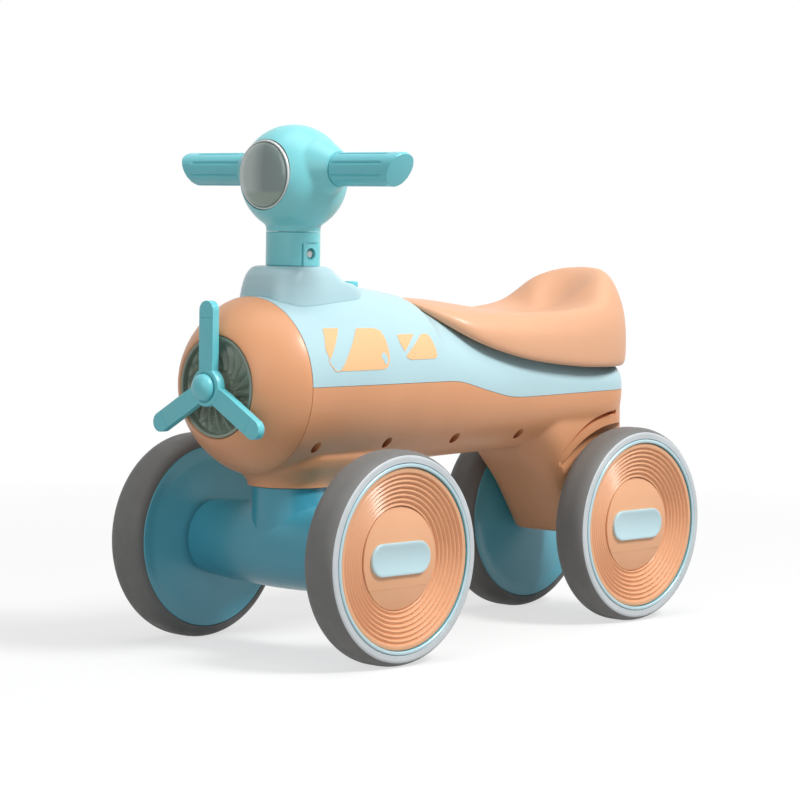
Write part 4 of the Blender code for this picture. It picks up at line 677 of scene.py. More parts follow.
@dataclass(frozen=True)
class LampGlass:
    """Grey lamp lens with a painted reflection: lighter at one side and at the bottom, darker in
    the middle.
    """

    name: str
    edge: Colour
    middle: Colour
    low: Colour
    slot: str
    centre_z: float
    radius: float

    def material(self) -> bpy.types.Material:
        """Make the material, or find it if it was made before.

        Returns:
            The material.
        """
        if self.name in bpy.data.materials:
            return bpy.data.materials[self.name]
        sheet = NodeSheet(self.name)
        parts = sheet.add("ShaderNodeSeparateXYZ")
        sheet.link(sheet.place, parts.inputs["Vector"])
        across = sheet.add("ShaderNodeMapRange")
        across.inputs["From Min"].default_value = -self.radius
        across.inputs["From Max"].default_value = self.radius
        sheet.link(parts.outputs["X"], across.inputs["Value"])
        # Painted reflection: the edge colour lightens one side and the low colour lightens the
        # bottom.
        edge = linear(self.edge)
        middle = linear(self.middle)
        painted_reflection_side, dim = shaded(edge, 1.12), shaded(middle, 1.2)
        stops = ((0.02, painted_reflection_side), (0.30, edge), (0.58, middle), (0.95, dim))
        sides = sheet.ramp(across.outputs["Result"], stops)
        height = sheet.add("ShaderNodeMapRange", interpolation_type="SMOOTHSTEP")
        height.inputs["From Min"].default_value = self.centre_z - 0.46 * self.radius
        height.inputs["From Max"].default_value = self.centre_z - 0.62 * self.radius
        sheet.link(parts.outputs["Z"], height.inputs["Value"])
        blend = sheet.add("ShaderNodeMix", data_type="RGBA")
        blend.inputs["B"].default_value = (*linear(self.low), 1.0)
        sheet.link(height.outputs["Result"], blend.inputs["Factor"])
        sheet.link(sides, blend.inputs["A"])
        sheet.link(blend.outputs["Result"], sheet.shader.inputs["Base Color"])
        rough = sheet.span(sheet.noise(60.0), 0.10, 0.18)
        sheet.link(rough, sheet.shader.inputs["Roughness"])
        sheet.shader.inputs["Coat Weight"].default_value = 0.8
        sheet.shader.inputs["Coat Roughness"].default_value = 0.06
        return sheet.material


@dataclass(frozen=True)
class PlatedSteel:
    """Zinc-plated steel with fine turning marks."""

    name: str
    colour: Colour
    slot: str

    def material(self) -> bpy.types.Material:
        """Make the material, or find it if it was made before.

        Returns:
            The material.
        """
        if self.name in bpy.data.materials:
            return bpy.data.materials[self.name]
        sheet = NodeSheet(self.name)
        base = linear(self.colour)
        stops = ((0.35, shaded(base, 0.85)), (0.65, shaded(base, 1.08)))
        sheet.link(sheet.ramp(sheet.noise(180.0, 4.0), stops), sheet.shader.inputs["Base Color"])
        sheet.link(sheet.span(sheet.noise(300.0), 0.24, 0.40), sheet.shader.inputs["Roughness"])
        sheet.bump(sheet.noise(2500.0), 0.00003, 0.3)
        sheet.shader.inputs["Metallic"].default_value = 1.0
        return sheet.material


Finish = MouldedPlastic | FoamRubber | LampGlass | PlatedSteel
WheelPiece = tuple[bpy.types.Object, Finish, str]

LIGHT_BLUE = MouldedPlastic("light_blue_shell", (184, 217, 224), "light_blue_plastic")
SOFT_BLUE = MouldedPlastic("teal_blue_fittings", (112, 208, 218), "light_blue_plastic")
HEAD_BLUE = MouldedPlastic("pale_teal_head", (128, 215, 221), "light_blue_plastic")
PALE_BLUE = MouldedPlastic("pale_blue_badge", (190, 219, 226), "light_blue_plastic")
AXLE_BLUE = MouldedPlastic("deep_blue_housing", (72, 162, 184), "axle_blue_plastic")
HUB_BLUE = MouldedPlastic("hub_blue", (98, 184, 205), "light_blue_plastic")
# Orange shades: the shells' copy is more saturated, partly painted shade of the belly and leg; the
# saddle's copy is paler, partly painted light of its lit top.
ORANGE = MouldedPlastic("apricot_shell", (225, 159, 113), "orange_plastic", roughness=0.50)
SADDLE_LIT_ORANGE = MouldedPlastic("apricot_lit_saddle", (226, 170, 132), "orange_plastic", roughness=0.55)
CAP_ORANGE = MouldedPlastic("apricot_cap", (232, 174, 132), "orange_plastic", roughness=0.56)
WINDOW_FILM = MouldedPlastic("window_film", (250, 196, 142), "orange_plastic", roughness=0.30)
INTAKE_BEIGE = MouldedPlastic(
    "silver_beige_intake", (138, 150, 134), "intake_plastic", roughness=0.33, flow_marks=0.10
)
RIM_WHITE = MouldedPlastic("white_rim", (226, 232, 230), "white_plastic", roughness=0.30)
MATT_BLACK = MouldedPlastic("black_case", (34, 34, 36), "black_plastic", roughness=0.55)
BOARD_GREEN = MouldedPlastic("varnished_board", (28, 96, 58), "circuit_board", roughness=0.40)
# Dark ring that stands for the shade in the lamp's gap: painted shadow.
PAINTED_GAP_SHADOW = MouldedPlastic("painted_gap_shadow", (58, 62, 60), "black_plastic", roughness=0.60)
TYRE_GREY = FoamRubber("grey_foam_tyre", (116, 115, 113), "tyre_foam")
# Paler band on the tyre's outer flat face: painted light of the lit sidewall, on the same foam.
TYRE_LIT_BAND = FoamRubber("painted_lit_tyre_band", (204, 210, 213), "tyre_foam", roughness=0.50)
# Lens colours: a painted reflection, lighter at one side and at the bottom, darker in the middle.
LENS_GREY = LampGlass(
    "lens_with_painted_reflection",
    edge=(172, 186, 182),
    middle=(112, 132, 128),
    low=(138, 160, 146),
    slot="lens_plastic",
    centre_z=LENS_Z,
    radius=LENS_RADIUS,
)
STEEL = PlatedSteel("zinc_steel", (186, 188, 190), "steel")
CELL_WRAP = PlatedSteel("cell_wrap", (150, 152, 156), "cell_metal")


def finish_piece(
    piece: bpy.types.Object,
    finish: Finish,
    body: str,
    nodes: Sequence[str] = (),
    angle: float = 35.0,
) -> bpy.types.Object:
    """Dress a finished piece and hand it to its body.

    Args:
        piece: The finished mesh object, at the origin.
        finish: Its finish.
        body: Name of the body that it moves with.
        nodes: The frame's nodes that it stands for.
        angle: Edges sharper than this, in degrees, stay sharp.

    Returns:
        The same object.
    """
    piece.data.materials.clear()
    piece.data.materials.append(finish.material())
    pick(piece)
    bpy.ops.object.shade_smooth_by_angle(angle=math.radians(angle))
    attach(piece, body)
    if nodes:
        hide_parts(*nodes)
    LOG.info("%s: %d faces, rides on %s", piece.name, len(piece.data.polygons), body)
    return piece


@dataclass
class Wheel:
    """Broad wheel: foam tyre, blue hub, stepped orange cap and a pale badge."""

    width: float = 0.0293
    face_radius: float = 0.0699
    back_radius: float = 0.0674
    shoulder: float = 0.0106
    hub_radius: float = 0.0662
    hub_wall: float = 0.0026
    sleeve_radius: float = 0.0120
    sleeve_proud: float = 0.0025
    sleeve_length: float = 0.0178
    bore: float = 0.0043
    face_drop: float = 0.0010
    cap_recess: float = 0.0056
    rim_depth: float = 0.0080
    ring_outer: float = 0.0600
    ring_inner: float = 0.0370
    ring_count: int = 7
    ring_tilt: float = 0.0013
    well_depth: float = 0.0032
    pad_rise: float = 0.0010
    pad_fall: float = 0.0034
    badge_length: float = 0.0590
    badge_height: float = 0.0230
    badge_thickness: float = 0.0016
    steps: int = 144

    def tyre_profile(self) -> list[Pair]:
        """Outline of the tyre's section, from its inner face outwards.

        Returns:
            Pairs of radius and height.
        """
        seat = self.hub_radius + JOINT_GAP
        low = 0.0006
        points = [(seat, low), (self.back_radius - 0.0004, low)]
        for angle in spread(0.10, 0.5 * math.pi, 12):
            radius = self.back_radius + (WHEEL_RADIUS - self.back_radius) * math.sin(angle)
            points.append((radius, low + self.shoulder * (1.0 - math.cos(angle))))
        for angle in spread(0.5 * math.pi, 0.10, 12):
            radius = self.face_radius + (WHEEL_RADIUS - self.face_radius) * math.sin(angle)
            points.append((radius, self.width - self.shoulder * (1.0 - math.cos(angle))))
        points += [(self.face_radius, self.width), (self.face_radius - 0.0005, self.width)]
        points += [(seat + 0.0004, self.width), (seat, self.width - 0.0004)]
        return points

    def hub_profile(self) -> list[Pair]:
        """Outline of the hub's section, from its inner face outwards.

        Returns:
            Pairs of radius and height.
        """
        inside = self.hub_radius - self.hub_wall
        sleeve_end = self.sleeve_length - self.sleeve_proud
        disc = 0.0042
        return [
            (self.bore, -self.sleeve_proud),
            (self.sleeve_radius - 0.0006, -self.sleeve_proud),
            (self.sleeve_radius, -self.sleeve_proud + 0.0006),
            (self.sleeve_radius, 0.0002),
            (self.sleeve_radius + 0.0006, 0.0004),
            (self.hub_radius - 0.0150, 0.0004),
            (self.hub_radius - 0.0120, 0.0010),
            (self.hub_radius - 0.0060, 0.0010),
            (self.hub_radius - 0.0040, 0.0004),
            (self.hub_radius - 0.0005, 0.0004),
            (self.hub_radius, 0.0009),
            (self.hub_radius, self.width - 0.0001),
            (self.hub_radius - 0.0007, self.width + 0.0005),
            (inside + 0.0006, self.width + 0.0005),
            (inside, self.width - 0.0001),
            (inside, disc),
            (self.sleeve_radius - 0.0030, disc),
            (self.sleeve_radius - 0.0030, sleeve_end),
            (self.bore, sleeve_end),
        ]

    def cap_profile(self) -> list[Pair]:
        """Outline of the cap's section: a rim, seven ridges and the pad's floor.

        Returns:
            Pairs of radius and height.
        """
        rim = self.hub_radius - self.hub_wall - JOINT_GAP
        face = self.width - self.face_drop
        back = face - self.rim_depth
        floor = face - self.cap_recess
        well = floor - self.well_depth
        under = well - 0.0020
        points = [(rim, back), (rim, face - 0.0009), (rim - 0.0002, face - 0.0003)]
        points += [(rim - 0.0009, face), (self.ring_outer + 0.0008, face)]
        pitch = (self.ring_outer - self.ring_inner) / self.ring_count
        drop = self.cap_recess / self.ring_count
        for i in range(self.ring_count):
            crest = face - drop * i
            outer = self.ring_outer - pitch * i
            foot = crest - drop - self.ring_tilt
            points += [
                (outer, crest - 0.0001),
                (outer - 0.07 * pitch, crest - 0.0004),
                (outer - 0.28 * pitch, foot + 0.0001),
                (outer - 0.38 * pitch, foot),
                (outer - 0.90 * pitch, crest - drop),
            ]
        points += [(self.ring_inner, floor), (self.ring_inner - 0.0004, floor - 0.0004)]
        points += [(self.ring_inner - 0.0006, well), (0.0, well), (0.0, under)]
        points += [(self.ring_outer - 0.0020, under), (rim - 0.0026, back)]
        return points

    def pad(self, name: str) -> bpy.types.Object:
        """Centre of the cap, arched so that it falls away above and below the badge.

        Args:
            name: Name of the new object.

        Returns:
            The pad.
        """
        floor = self.width - self.face_drop - self.cap_recess
        bpy.ops.mesh.primitive_cylinder_add(
            vertices=96, radius=self.ring_inner - 0.0010, depth=0.004, end_fill_type="NGON"
        )
        pad = settle(bpy.context.active_object)
        pad.name = name
        with editing(pad):
            for step in range(-17, 18):
                cut = step * 0.0020 + 0.0001
                bpy.ops.mesh.select_all(action="SELECT")
                bpy.ops.mesh.bisect(plane_co=(0.0, cut, 0.0), plane_no=(0.0, 1.0, 0.0))
        reach = 1.12 * self.ring_inner
        for vert in pad.data.vertices:
            along = vert.co.y
            if vert.co.z > 0.0:
                height = floor + self.pad_rise - self.pad_fall * abs(along / reach) ** 2.4
            else:
                height = floor - self.well_depth - 0.0005
            vert.co = (-vert.co.y, vert.co.x, height)
        tidy_shell(pad)
        round_edges(pad, 0.0005, 2, 50.0)
        return pad

    def badge(self, name: str) -> bpy.types.Object:
        """Raised plate with round ends and a slightly sunk face.

        Args:
            name: Name of the new object.

        Returns:
            The plate.
        """
        half = self.badge_height / 2.0
        straight = (self.badge_length - self.badge_height) / 2.0
        outline = arc((0.0, straight), half, 0.0, math.pi, 25)
        outline += arc((0.0, -straight), half, math.pi, 2.0 * math.pi, 25)
        low = self.width - self.face_drop - self.cap_recess + self.pad_rise - 0.0008
        plate = slab(name, outline, Axis.UP, low, low + self.badge_thickness + 0.0012)
        round_edges(plate, 0.0006, 3, 40.0)
        with editing(plate):
            bpy.ops.mesh.select_all(action="DESELECT")
            shape = bmesh.from_edit_mesh(plate.data)
            for face in shape.faces:
                face.select = face.normal.z > 0.99 and len(face.verts) > 8
            bmesh.update_edit_mesh(plate.data)
            bpy.ops.mesh.inset(thickness=0.0016, depth=0.0)
            bpy.ops.mesh.inset(thickness=0.0006, depth=-0.0003)
        return plate

    def masters(self) -> list[WheelPiece]:
        """Model the wheel once, standing on its inner face at the origin.

        Returns:
            Each piece with its finish and the frame's node that it stands for.
        """
        centre = (0.0, 0.0, 0.0)
        tyre = turned("tyre", self.tyre_profile(), centre, Axis.UP, self.steps)
        hub = turned("hub", self.hub_profile(), centre, Axis.UP, self.steps)
        cap = turned("cap", self.cap_profile(), centre, Axis.UP, self.steps)
        return [
            (tyre, TYRE_GREY, "tyre"),
            (hub, HUB_BLUE, "hub"),
            (cap, CAP_ORANGE, "wheel_cap"),
            (self.pad("pad"), CAP_ORANGE, "pad"),
            (self.badge("badge"), PALE_BLUE, "badge"),
        ]

    def build(self, tag: str, x: float, y: float, masters: Sequence[WheelPiece]) -> None:
        """Copy the wheel to one corner.

        Args:
            tag: Corner's name, as in the frame.
            x: X of the wheel's inner face; its sign gives the side.
            y: Y of the axle.
            masters: What masters() returned.
        """
        side = Axis.LEFT if x > 0.0 else Axis.RIGHT
        turn = Matrix.Rotation(side.value[1], 4, "Y")
        for master, finish, role in masters:
            piece = duplicate(master, f"{role}_{tag}_dressed")
            piece.data.transform(Matrix.Translation((x, y, WHEEL_RADIUS)) @ turn)
            node = [] if role == "pad" else [f"{role}_{tag}"]
            finish_piece(piece, finish, f"wheel_{tag}", node, 30.0)
            # On the tyre, the paler outer ring is painted light of the lit sidewall.
            if role in ("tyre", "hub"):
                self.paint_flat(piece, TYRE_LIT_BAND if role == "tyre" else PALE_BLUE, abs(x))

    def paint_flat(self, piece: bpy.types.Object, finish: Finish, inner_x: float) -> None:
        """Give the flat ring on the outer side of a piece a second, paler finish; on the tyre this
        is painted light of the lit sidewall.

        Args:
            piece: The tyre or the hub.
            finish: The ring's finish.
            inner_x: Distance of the wheel's inner face from the middle.
        """
        piece.data.materials.append(finish.material())
        limit = inner_x + self.width - 0.0005
        for face in piece.data.polygons:
            if abs(face.center.x) > limit and abs(face.normal.x) > 0.5:
                face.material_index = 1


@dataclass
class Fuselage:
    """Aeroplane body, hollow on the real toy but built here as solids: light blue cover, orange
    lower halves with the rear leg.
    """

    tail_half_width: float = 0.0515
    tail_length: float = 0.0440
    tail_roundness: float = 0.86
    tail_top: float = 0.2053
    tail_belly: float = 0.1369
    tail_middle: float = 0.1811
    seam_front: float = 0.1920
    seam_rear: float = 0.1781
    leg_foot: float = 0.0664
    leg_side: float = 0.0385
    boss_radius: float = 0.0088
    arch_radius: float = 0.0776
    arch_lip: float = 0.0074
    arch_lip_x: float = 0.0474
    arch_foot: float = 137.0
    arch_crown: float = 91.5
    arch_taper: float = 0.0080
    groove_height: float = 0.0032
    flange_radius: float = 0.0300
    flange_bottom: float = 0.1186
    screw_z: float = 0.1490
    screw_first: float = FRONT_AXLE_Y - 0.0231
    screw_pitch: float = 0.0739
    screw_recess: float = 0.0040
    screw_recess_x: float = 0.0145
    battery_y: float = FRONT_AXLE_Y + 0.0894
    door_half_width: float = 0.0240
    door_half_length: float = 0.0285
    door_top: float = 0.1410
    speaker_y: float = FRONT_AXLE_Y + 0.1558
    sound_hole_radius: float = 0.0018
    sound_hole_pitch: float = 0.0065
    sound_hole_top: float = 0.1400
    button_opening: float = 0.0054
    skin: float = 0.0014
    softness: int = 14
    steps: int = 120

    def section(
        self, y: float, half_width: float, top: float, bottom: float, middle: float, power: float
    ) -> list[Point]:
        """Upright superellipse across the body.

        Args:
            y: Place of the section.
            half_width: Half its width.
            top: Its highest point.
            bottom: Its lowest point.
            middle: Height at which it is widest.
            power: 2 for an ellipse, more for a squarer section.

        Returns:
            The section's points.
        """
        ring = []
        for i in range(self.steps):
            angle = 2.0 * math.pi * (i + 0.5) / self.steps
            across = math.copysign(abs(math.cos(angle)) ** (2.0 / power), math.cos(angle))
            up = math.copysign(abs(math.sin(angle)) ** (2.0 / power), math.sin(angle))
            reach = top - middle if up > 0.0 else middle - bottom
            ring.append((half_width * across, y, middle + reach * up))
        return ring

    def stations(self) -> list[tuple[float, ...]]:
        """Sections of the body from the seam with the cowl to the tail.

        Returns:
            Rows of y, half width, top, bottom, height of the widest place and squareness.
        """
        tip = SADDLE_TIP_Y
        axis = BODY_AXIS_Z
        wide = BODY_RADIUS
        tail_start = TAIL_Y - self.tail_length
        tail = self.tail_half_width
        top, belly, middle = self.tail_top, self.tail_belly, self.tail_middle
        return [
            (SEAM_Y, wide, axis + wide, BELLY_Z, axis, 2.0),
            (SEAM_Y + 0.034, wide - 0.0002, RIDGE_Z - 0.0050, BELLY_Z, axis, 2.0),
            (STEER_Y + 0.035, wide - 0.0008, RIDGE_Z - 0.0008, BELLY_Z + 0.0004, axis, 2.0),
            (STEER_Y + 0.054, wide - 0.0016, RIDGE_Z - 0.0001, BELLY_Z + 0.0012, axis, 2.0),
            (tip - 0.015, wide - 0.0026, RIDGE_Z - 0.0042, BELLY_Z + 0.0020, axis - 0.0005, 2.05),
            (tip - 0.002, wide - 0.0032, RIDGE_Z - 0.0068, BELLY_Z + 0.0025, axis - 0.001, 2.05),
            (tip + 0.006, wide - 0.0035, RIDGE_Z - 0.0120, BELLY_Z + 0.0027, axis - 0.001, 2.05),
            (tip + 0.022, wide - 0.0041, RIDGE_Z - 0.0170, BELLY_Z + 0.0032, axis - 0.002, 2.1),
            (tip + 0.055, wide - 0.0053, RIDGE_Z - 0.0255, BELLY_Z + 0.0044, axis - 0.0045, 2.15),
            (tip + 0.105, tail + 0.0025, top + 0.018, belly - 0.003, middle + 0.0025, 2.25),
            (tail_start - 0.040, tail + 0.001, top + 0.006, belly, middle + 0.001, 2.4),
            (tail_start, tail, top, belly, middle, 2.5),
        ]

    def solid(self, name: str, inset: float = 0.0, ahead: float = 0.0) -> bpy.types.Object:
        """Whole fuselage as a closed solid.

        Args:
            name: Name of the new object.
            inset: How far its surface is moved inwards.
            ahead: How far it goes on in front of the seam with the cowl.

        Returns:
            The solid.
        """
        rings = []
        rows = smooth_rows(self.stations(), 5)
        if ahead > 0.0:
            y, *rest = rows[0]
            rows.insert(0, (y - ahead, *rest))
        for y, half_width, top, bottom, middle, power in rows:
            rings.append(
                self.section(y, half_width - inset, top - inset, bottom + inset, middle, power)
            )
        y, half_width, top, bottom, middle, power = rows[-1]
        round_tail = (8, 16, 24, 32, 40, 48, 55, 62, 68, 74, 79, 83, 86, 88.5)
        for degrees in round_tail:
            angle = math.radians(degrees)
            shrink = math.cos(angle) ** self.tail_roundness
            reach = math.sin(angle) ** self.tail_roundness * (self.tail_length - inset)
            height = 0.6 + 0.4 * shrink
            rings.append(
                self.section(
                    y + reach,
                    (half_width - inset) * shrink,
                    middle + (top - inset - middle) * height,
                    middle - (middle - bottom - inset) * height,
                    middle,
                    power,
                )
            )
        return lofted(name, rings)

    def leg(self) -> bpy.types.Object:
        """Rear leg that comes down between the rear wheels.

        Returns:
            The solid leg.
        """
        foot = self.leg_foot
        rows = [
            (foot, -0.0285, 0.0190, 0.0342, 0.0110),
            (foot + 0.0012, -0.0310, 0.0208, 0.0358, 0.0120),
            (foot + 0.0040, -0.0335, 0.0220, 0.0366, 0.0130),
            (WHEEL_RADIUS + 0.0130, -0.0462, 0.0228, 0.0372, 0.0155),
            (WHEEL_RADIUS + 0.0330, -0.0620, 0.0236, 0.0384, 0.0200),
            (WHEEL_RADIUS + 0.0520, -0.0805, 0.0239, 0.0420, 0.0270),
            (WHEEL_RADIUS + 0.0700, -0.0950, 0.0220, 0.0455, 0.0300),
            (WHEEL_RADIUS + 0.0860, -0.1035, 0.0216, 0.0468, 0.0320),
            (WHEEL_RADIUS + 0.1010, -0.1080, 0.0212, 0.0470, 0.0335),
        ]
        rings = []
        for z, front, rear, half_width, corner in smooth_rows(rows, 4):
            rings.append(
                rounded_box_ring(z, half_width, REAR_AXLE_Y + front, REAR_AXLE_Y + rear, corner)
            )
        return lofted("leg", rings)

    def fairing(self) -> bpy.types.Object:
        """Foot of the column's seat, which flares into the belly.

        Returns:
            The solid foot.
        """
        low, wide = self.flange_bottom, self.flange_radius
        rows = [
            (low - 0.0050, wide, -wide, wide, wide - 0.0001),
            (low + 0.0015, wide + 0.0001, -wide, wide + 0.0004, wide),
            (low + 0.0040, wide + 0.0010, -wide - 0.0012, wide + 0.0050, wide + 0.0005),
            (low + 0.0070, wide + 0.0024, -wide - 0.0040, wide + 0.0130, wide + 0.0015),
            (low + 0.0105, wide + 0.0050, -wide - 0.0080, wide + 0.0250, wide + 0.0030),
            (low + 0.0150, wide + 0.0085, -wide - 0.0110, wide + 0.0380, wide + 0.0050),
            (low + 0.0220, wide + 0.0120, -wide - 0.0110, wide + 0.0500, wide + 0.0080),
        ]
        rings = []
        for z, half_width, front, rear, corner in smooth_rows(rows, 3):
            rings.append(rounded_box_ring(z, half_width, STEER_Y + front, STEER_Y + rear, corner))
        return lofted("fairing", rings)

    def seam(self, drop: float) -> list[Pair]:
        """Side view of all that lies below the seam.

        Args:
            drop: How far the seam's line is lowered.

        Returns:
            The outline as pairs of y and z.
        """
        middle = SADDLE_TIP_Y + 0.045
        slope = smooth_rows(
            [
                (middle - 0.050, self.seam_front),
                (middle - 0.028, self.seam_front - 0.0010),
                (middle + 0.005, self.seam_rear + 0.0052),
                (middle + 0.035, self.seam_rear - 0.0002),
                (middle + 0.075, self.seam_rear - 0.0004),
            ],
            8,
        )
        front = SEAM_Y - 0.010
        rear = TAIL_Y + 0.010
        top = [(front, self.seam_front), *slope, (rear, self.seam_rear + 0.0016)]
        return [(y, z - drop) for y, z in top] + [(rear, 0.0), (front, 0.0)]

    def wheel_clearance(self, side: float) -> bpy.types.Object:
        """Cylinder that clears one rear wheel.

        Args:
            side: 1 for the left wheel, -1 for the right one.

        Returns:
            The cylinder.
        """
        place = (REAR_AXLE_Y, WHEEL_RADIUS)
        start = (side * self.leg_side, *place)
        end = (side * 0.110, *place)
        return bar("wheel_clearance", self.arch_radius, start, end, 128)

    def arch_band(self, side: float) -> bpy.types.Object:
        """Raised band that follows one wheel arch, and sinks into the leg towards its foot.

        Args:
            side: 1 for the left arch, -1 for the right one.

        Returns:
            The band.
        """
        first = math.radians(self.arch_foot)
        last = math.radians(self.arch_crown)
        centre = (REAR_AXLE_Y, WHEEL_RADIUS)
        slant = math.radians(7.0)
        outline = arc(centre, self.arch_radius + self.arch_lip, first, last, 25)
        outline += arc(centre, self.arch_radius - 0.0002, last, first + slant, 25)
        low, high = sorted((side * 0.030, side * (self.arch_lip_x + 0.0006)))
        band = slab("arch_band", outline, Axis.LEFT, low, high)
        reach = self.arch_radius + self.arch_lip
        taper = self.arch_taper
        past, front, rear = side * 0.09, REAR_AXLE_Y - 0.120, REAR_AXLE_Y + 0.012
        outside = [
            (side * (self.arch_lip_x - taper), REAR_AXLE_Y + reach * math.cos(first)),
            (side * (self.arch_lip_x + 0.0002), rear),
            (past, rear),
            (past, front),
            (side * (self.arch_lip_x - taper * 1.35), front),
        ]
        combine(band, slab("outside", outside, Axis.UP, 0.0, 0.3), Fit.CUT)
        round_edges(band, 0.0004, 1, 45.0)
        return band

    def arch_groove(self, side: float) -> bpy.types.Object:
        """Crescent that is cut above one arch band, widest at the tail.

        Args:
            side: 1 for the left arch, -1 for the right one.

        Returns:
            The crescent.
        """
        centre = (REAR_AXLE_Y, WHEEL_RADIUS)
        start, end = math.radians(self.arch_foot), math.radians(self.arch_crown + 1.0)
        lip = self.arch_radius + self.arch_lip
        outer = []
        for angle in spread(start, end, 25):
            share = (start - angle) / (start - end)
            radius = lip + 0.0001 + self.groove_height * math.sin(0.5 * math.pi * share)
            y, z = centre[0] + radius * math.cos(angle), centre[1] + radius * math.sin(angle)
            outer.append((y, z))
        inner = arc(centre, lip - 0.0005, end, start, 25)
        low, high = sorted((side * (self.arch_lip_x - 0.0080), side * 0.080))
        return slab("arch_groove", outer + inner, Axis.LEFT, low, high)

    def lower_solid(self) -> bpy.types.Object:
        """Orange part as one solid, its leg and flange flowing into the belly.

        Returns:
            The solid below the seam.
        """
        lower = self.solid("lower", 0.0, 0.014)
        combine(lower, self.leg(), Fit.JOIN)
        combine(lower, self.fairing(), Fit.JOIN)
        melt(lower, self.skin, self.softness)
        for side in (1.0, -1.0):
            combine(lower, self.arch_groove(side), Fit.CUT)
            combine(lower, self.arch_band(side), Fit.JOIN)
            combine(lower, self.wheel_clearance(side), Fit.CUT)
        under = block(
            "under_flange", (-0.08, -0.3, 0.0), (0.08, STEER_Y + 0.060, self.flange_bottom)
        )
        combine(lower, under, Fit.CUT)
        boss_x = REAR_WHEEL_X - Wheel.sleeve_proud - JOINT_GAP
        right = (-boss_x, REAR_AXLE_Y, WHEEL_RADIUS)
        left = (boss_x, REAR_AXLE_Y, WHEEL_RADIUS)
        combine(lower, bar("boss", self.boss_radius, right, left), Fit.JOIN)
        front = block(
            "front_trim", (-PAST_SIDES, -PAST_ENDS, 0.0), (PAST_SIDES, SEAM_Y, PAST_ENDS)
        )
        combine(lower, front, Fit.CUT)
        line = self.seam(JOINT_GAP / 2.0)
        below = slab("below_seam", line, Axis.LEFT, -PAST_SIDES, PAST_SIDES)
        return combine(lower, below, Fit.KEEP)

    def door_box(self, margin: float) -> bpy.types.Object:
        """Box through the belly at the battery door.

        Args:
            margin: How much smaller it is than the opening, on each side.

        Returns:
            The box.
        """
        half_width = self.door_half_width - margin
        half = self.door_half_length - margin
        return block(
            "door_box",
            (-half_width, self.battery_y - half, BELLY_Z - 0.010),
            (half_width, self.battery_y + half, self.door_top - margin),
        )

    def build_lower(self) -> None:
        """Make the two lower halves and the battery door."""
        lower = self.lower_solid()
        door = duplicate(lower, "battery_door_dressed")
        combine(door, self.door_box(JOINT_GAP), Fit.KEEP)
        finish_piece(door, ORANGE, "body", ["battery_door"])
        combine(lower, self.door_box(0.0), Fit.CUT)
        pitch = self.sound_hole_pitch
        for step in (-1.0, 0.0, 1.0):
            for side in (1.0, -1.0):
                x = side * pitch * 0.75
                y = self.speaker_y + step * pitch
                start, end = (x, y, BELLY_Z - 0.01), (x, y, self.sound_hole_top)
                combine(lower, bar("sound_hole", self.sound_hole_radius, start, end, 24), Fit.CUT)
        for i in range(4):
            y = self.screw_first + self.screw_pitch * i
            start = (self.screw_recess_x, y, self.screw_z)
            end = (PAST_SIDES, y, self.screw_z)
            combine(lower, bar("screw_recess", self.screw_recess, start, end, 32), Fit.CUT)
        for side, name in ((1.0, "lower_shell_left"), (-1.0, "lower_shell_right")):
            half = duplicate(lower, name + "_dressed")
            low, high = sorted((side * HAIR_GAP, side * PAST_SIDES))
            kept = block("half", (low, -PAST_ENDS, 0.0), (high, PAST_ENDS, PAST_ENDS))
            combine(half, kept, Fit.KEEP)
            finish_piece(half, ORANGE, "body", [name], 32.0)
        bpy.data.objects.remove(lower, do_unlink=True)

    def build_upper(self) -> None:
        """Make the light blue cover with its button opening."""
        upper = self.solid("upper_shell_dressed")
        line = self.seam(-JOINT_GAP / 2.0)
        combine(upper, slab("below_seam", line, Axis.LEFT, -PAST_SIDES, PAST_SIDES), Fit.CUT)
        low, high = (0.0, BUTTON_Y, 0.2485), (0.0, BUTTON_Y, 0.30)
        combine(upper, bar("button_opening", self.button_opening, low, high), Fit.CUT)
        finish_piece(upper, LIGHT_BLUE, "body", ["upper_shell"], 32.0)

    def build(self) -> None:
        """Make the whole body."""
        self.build_lower()
        self.build_upper()


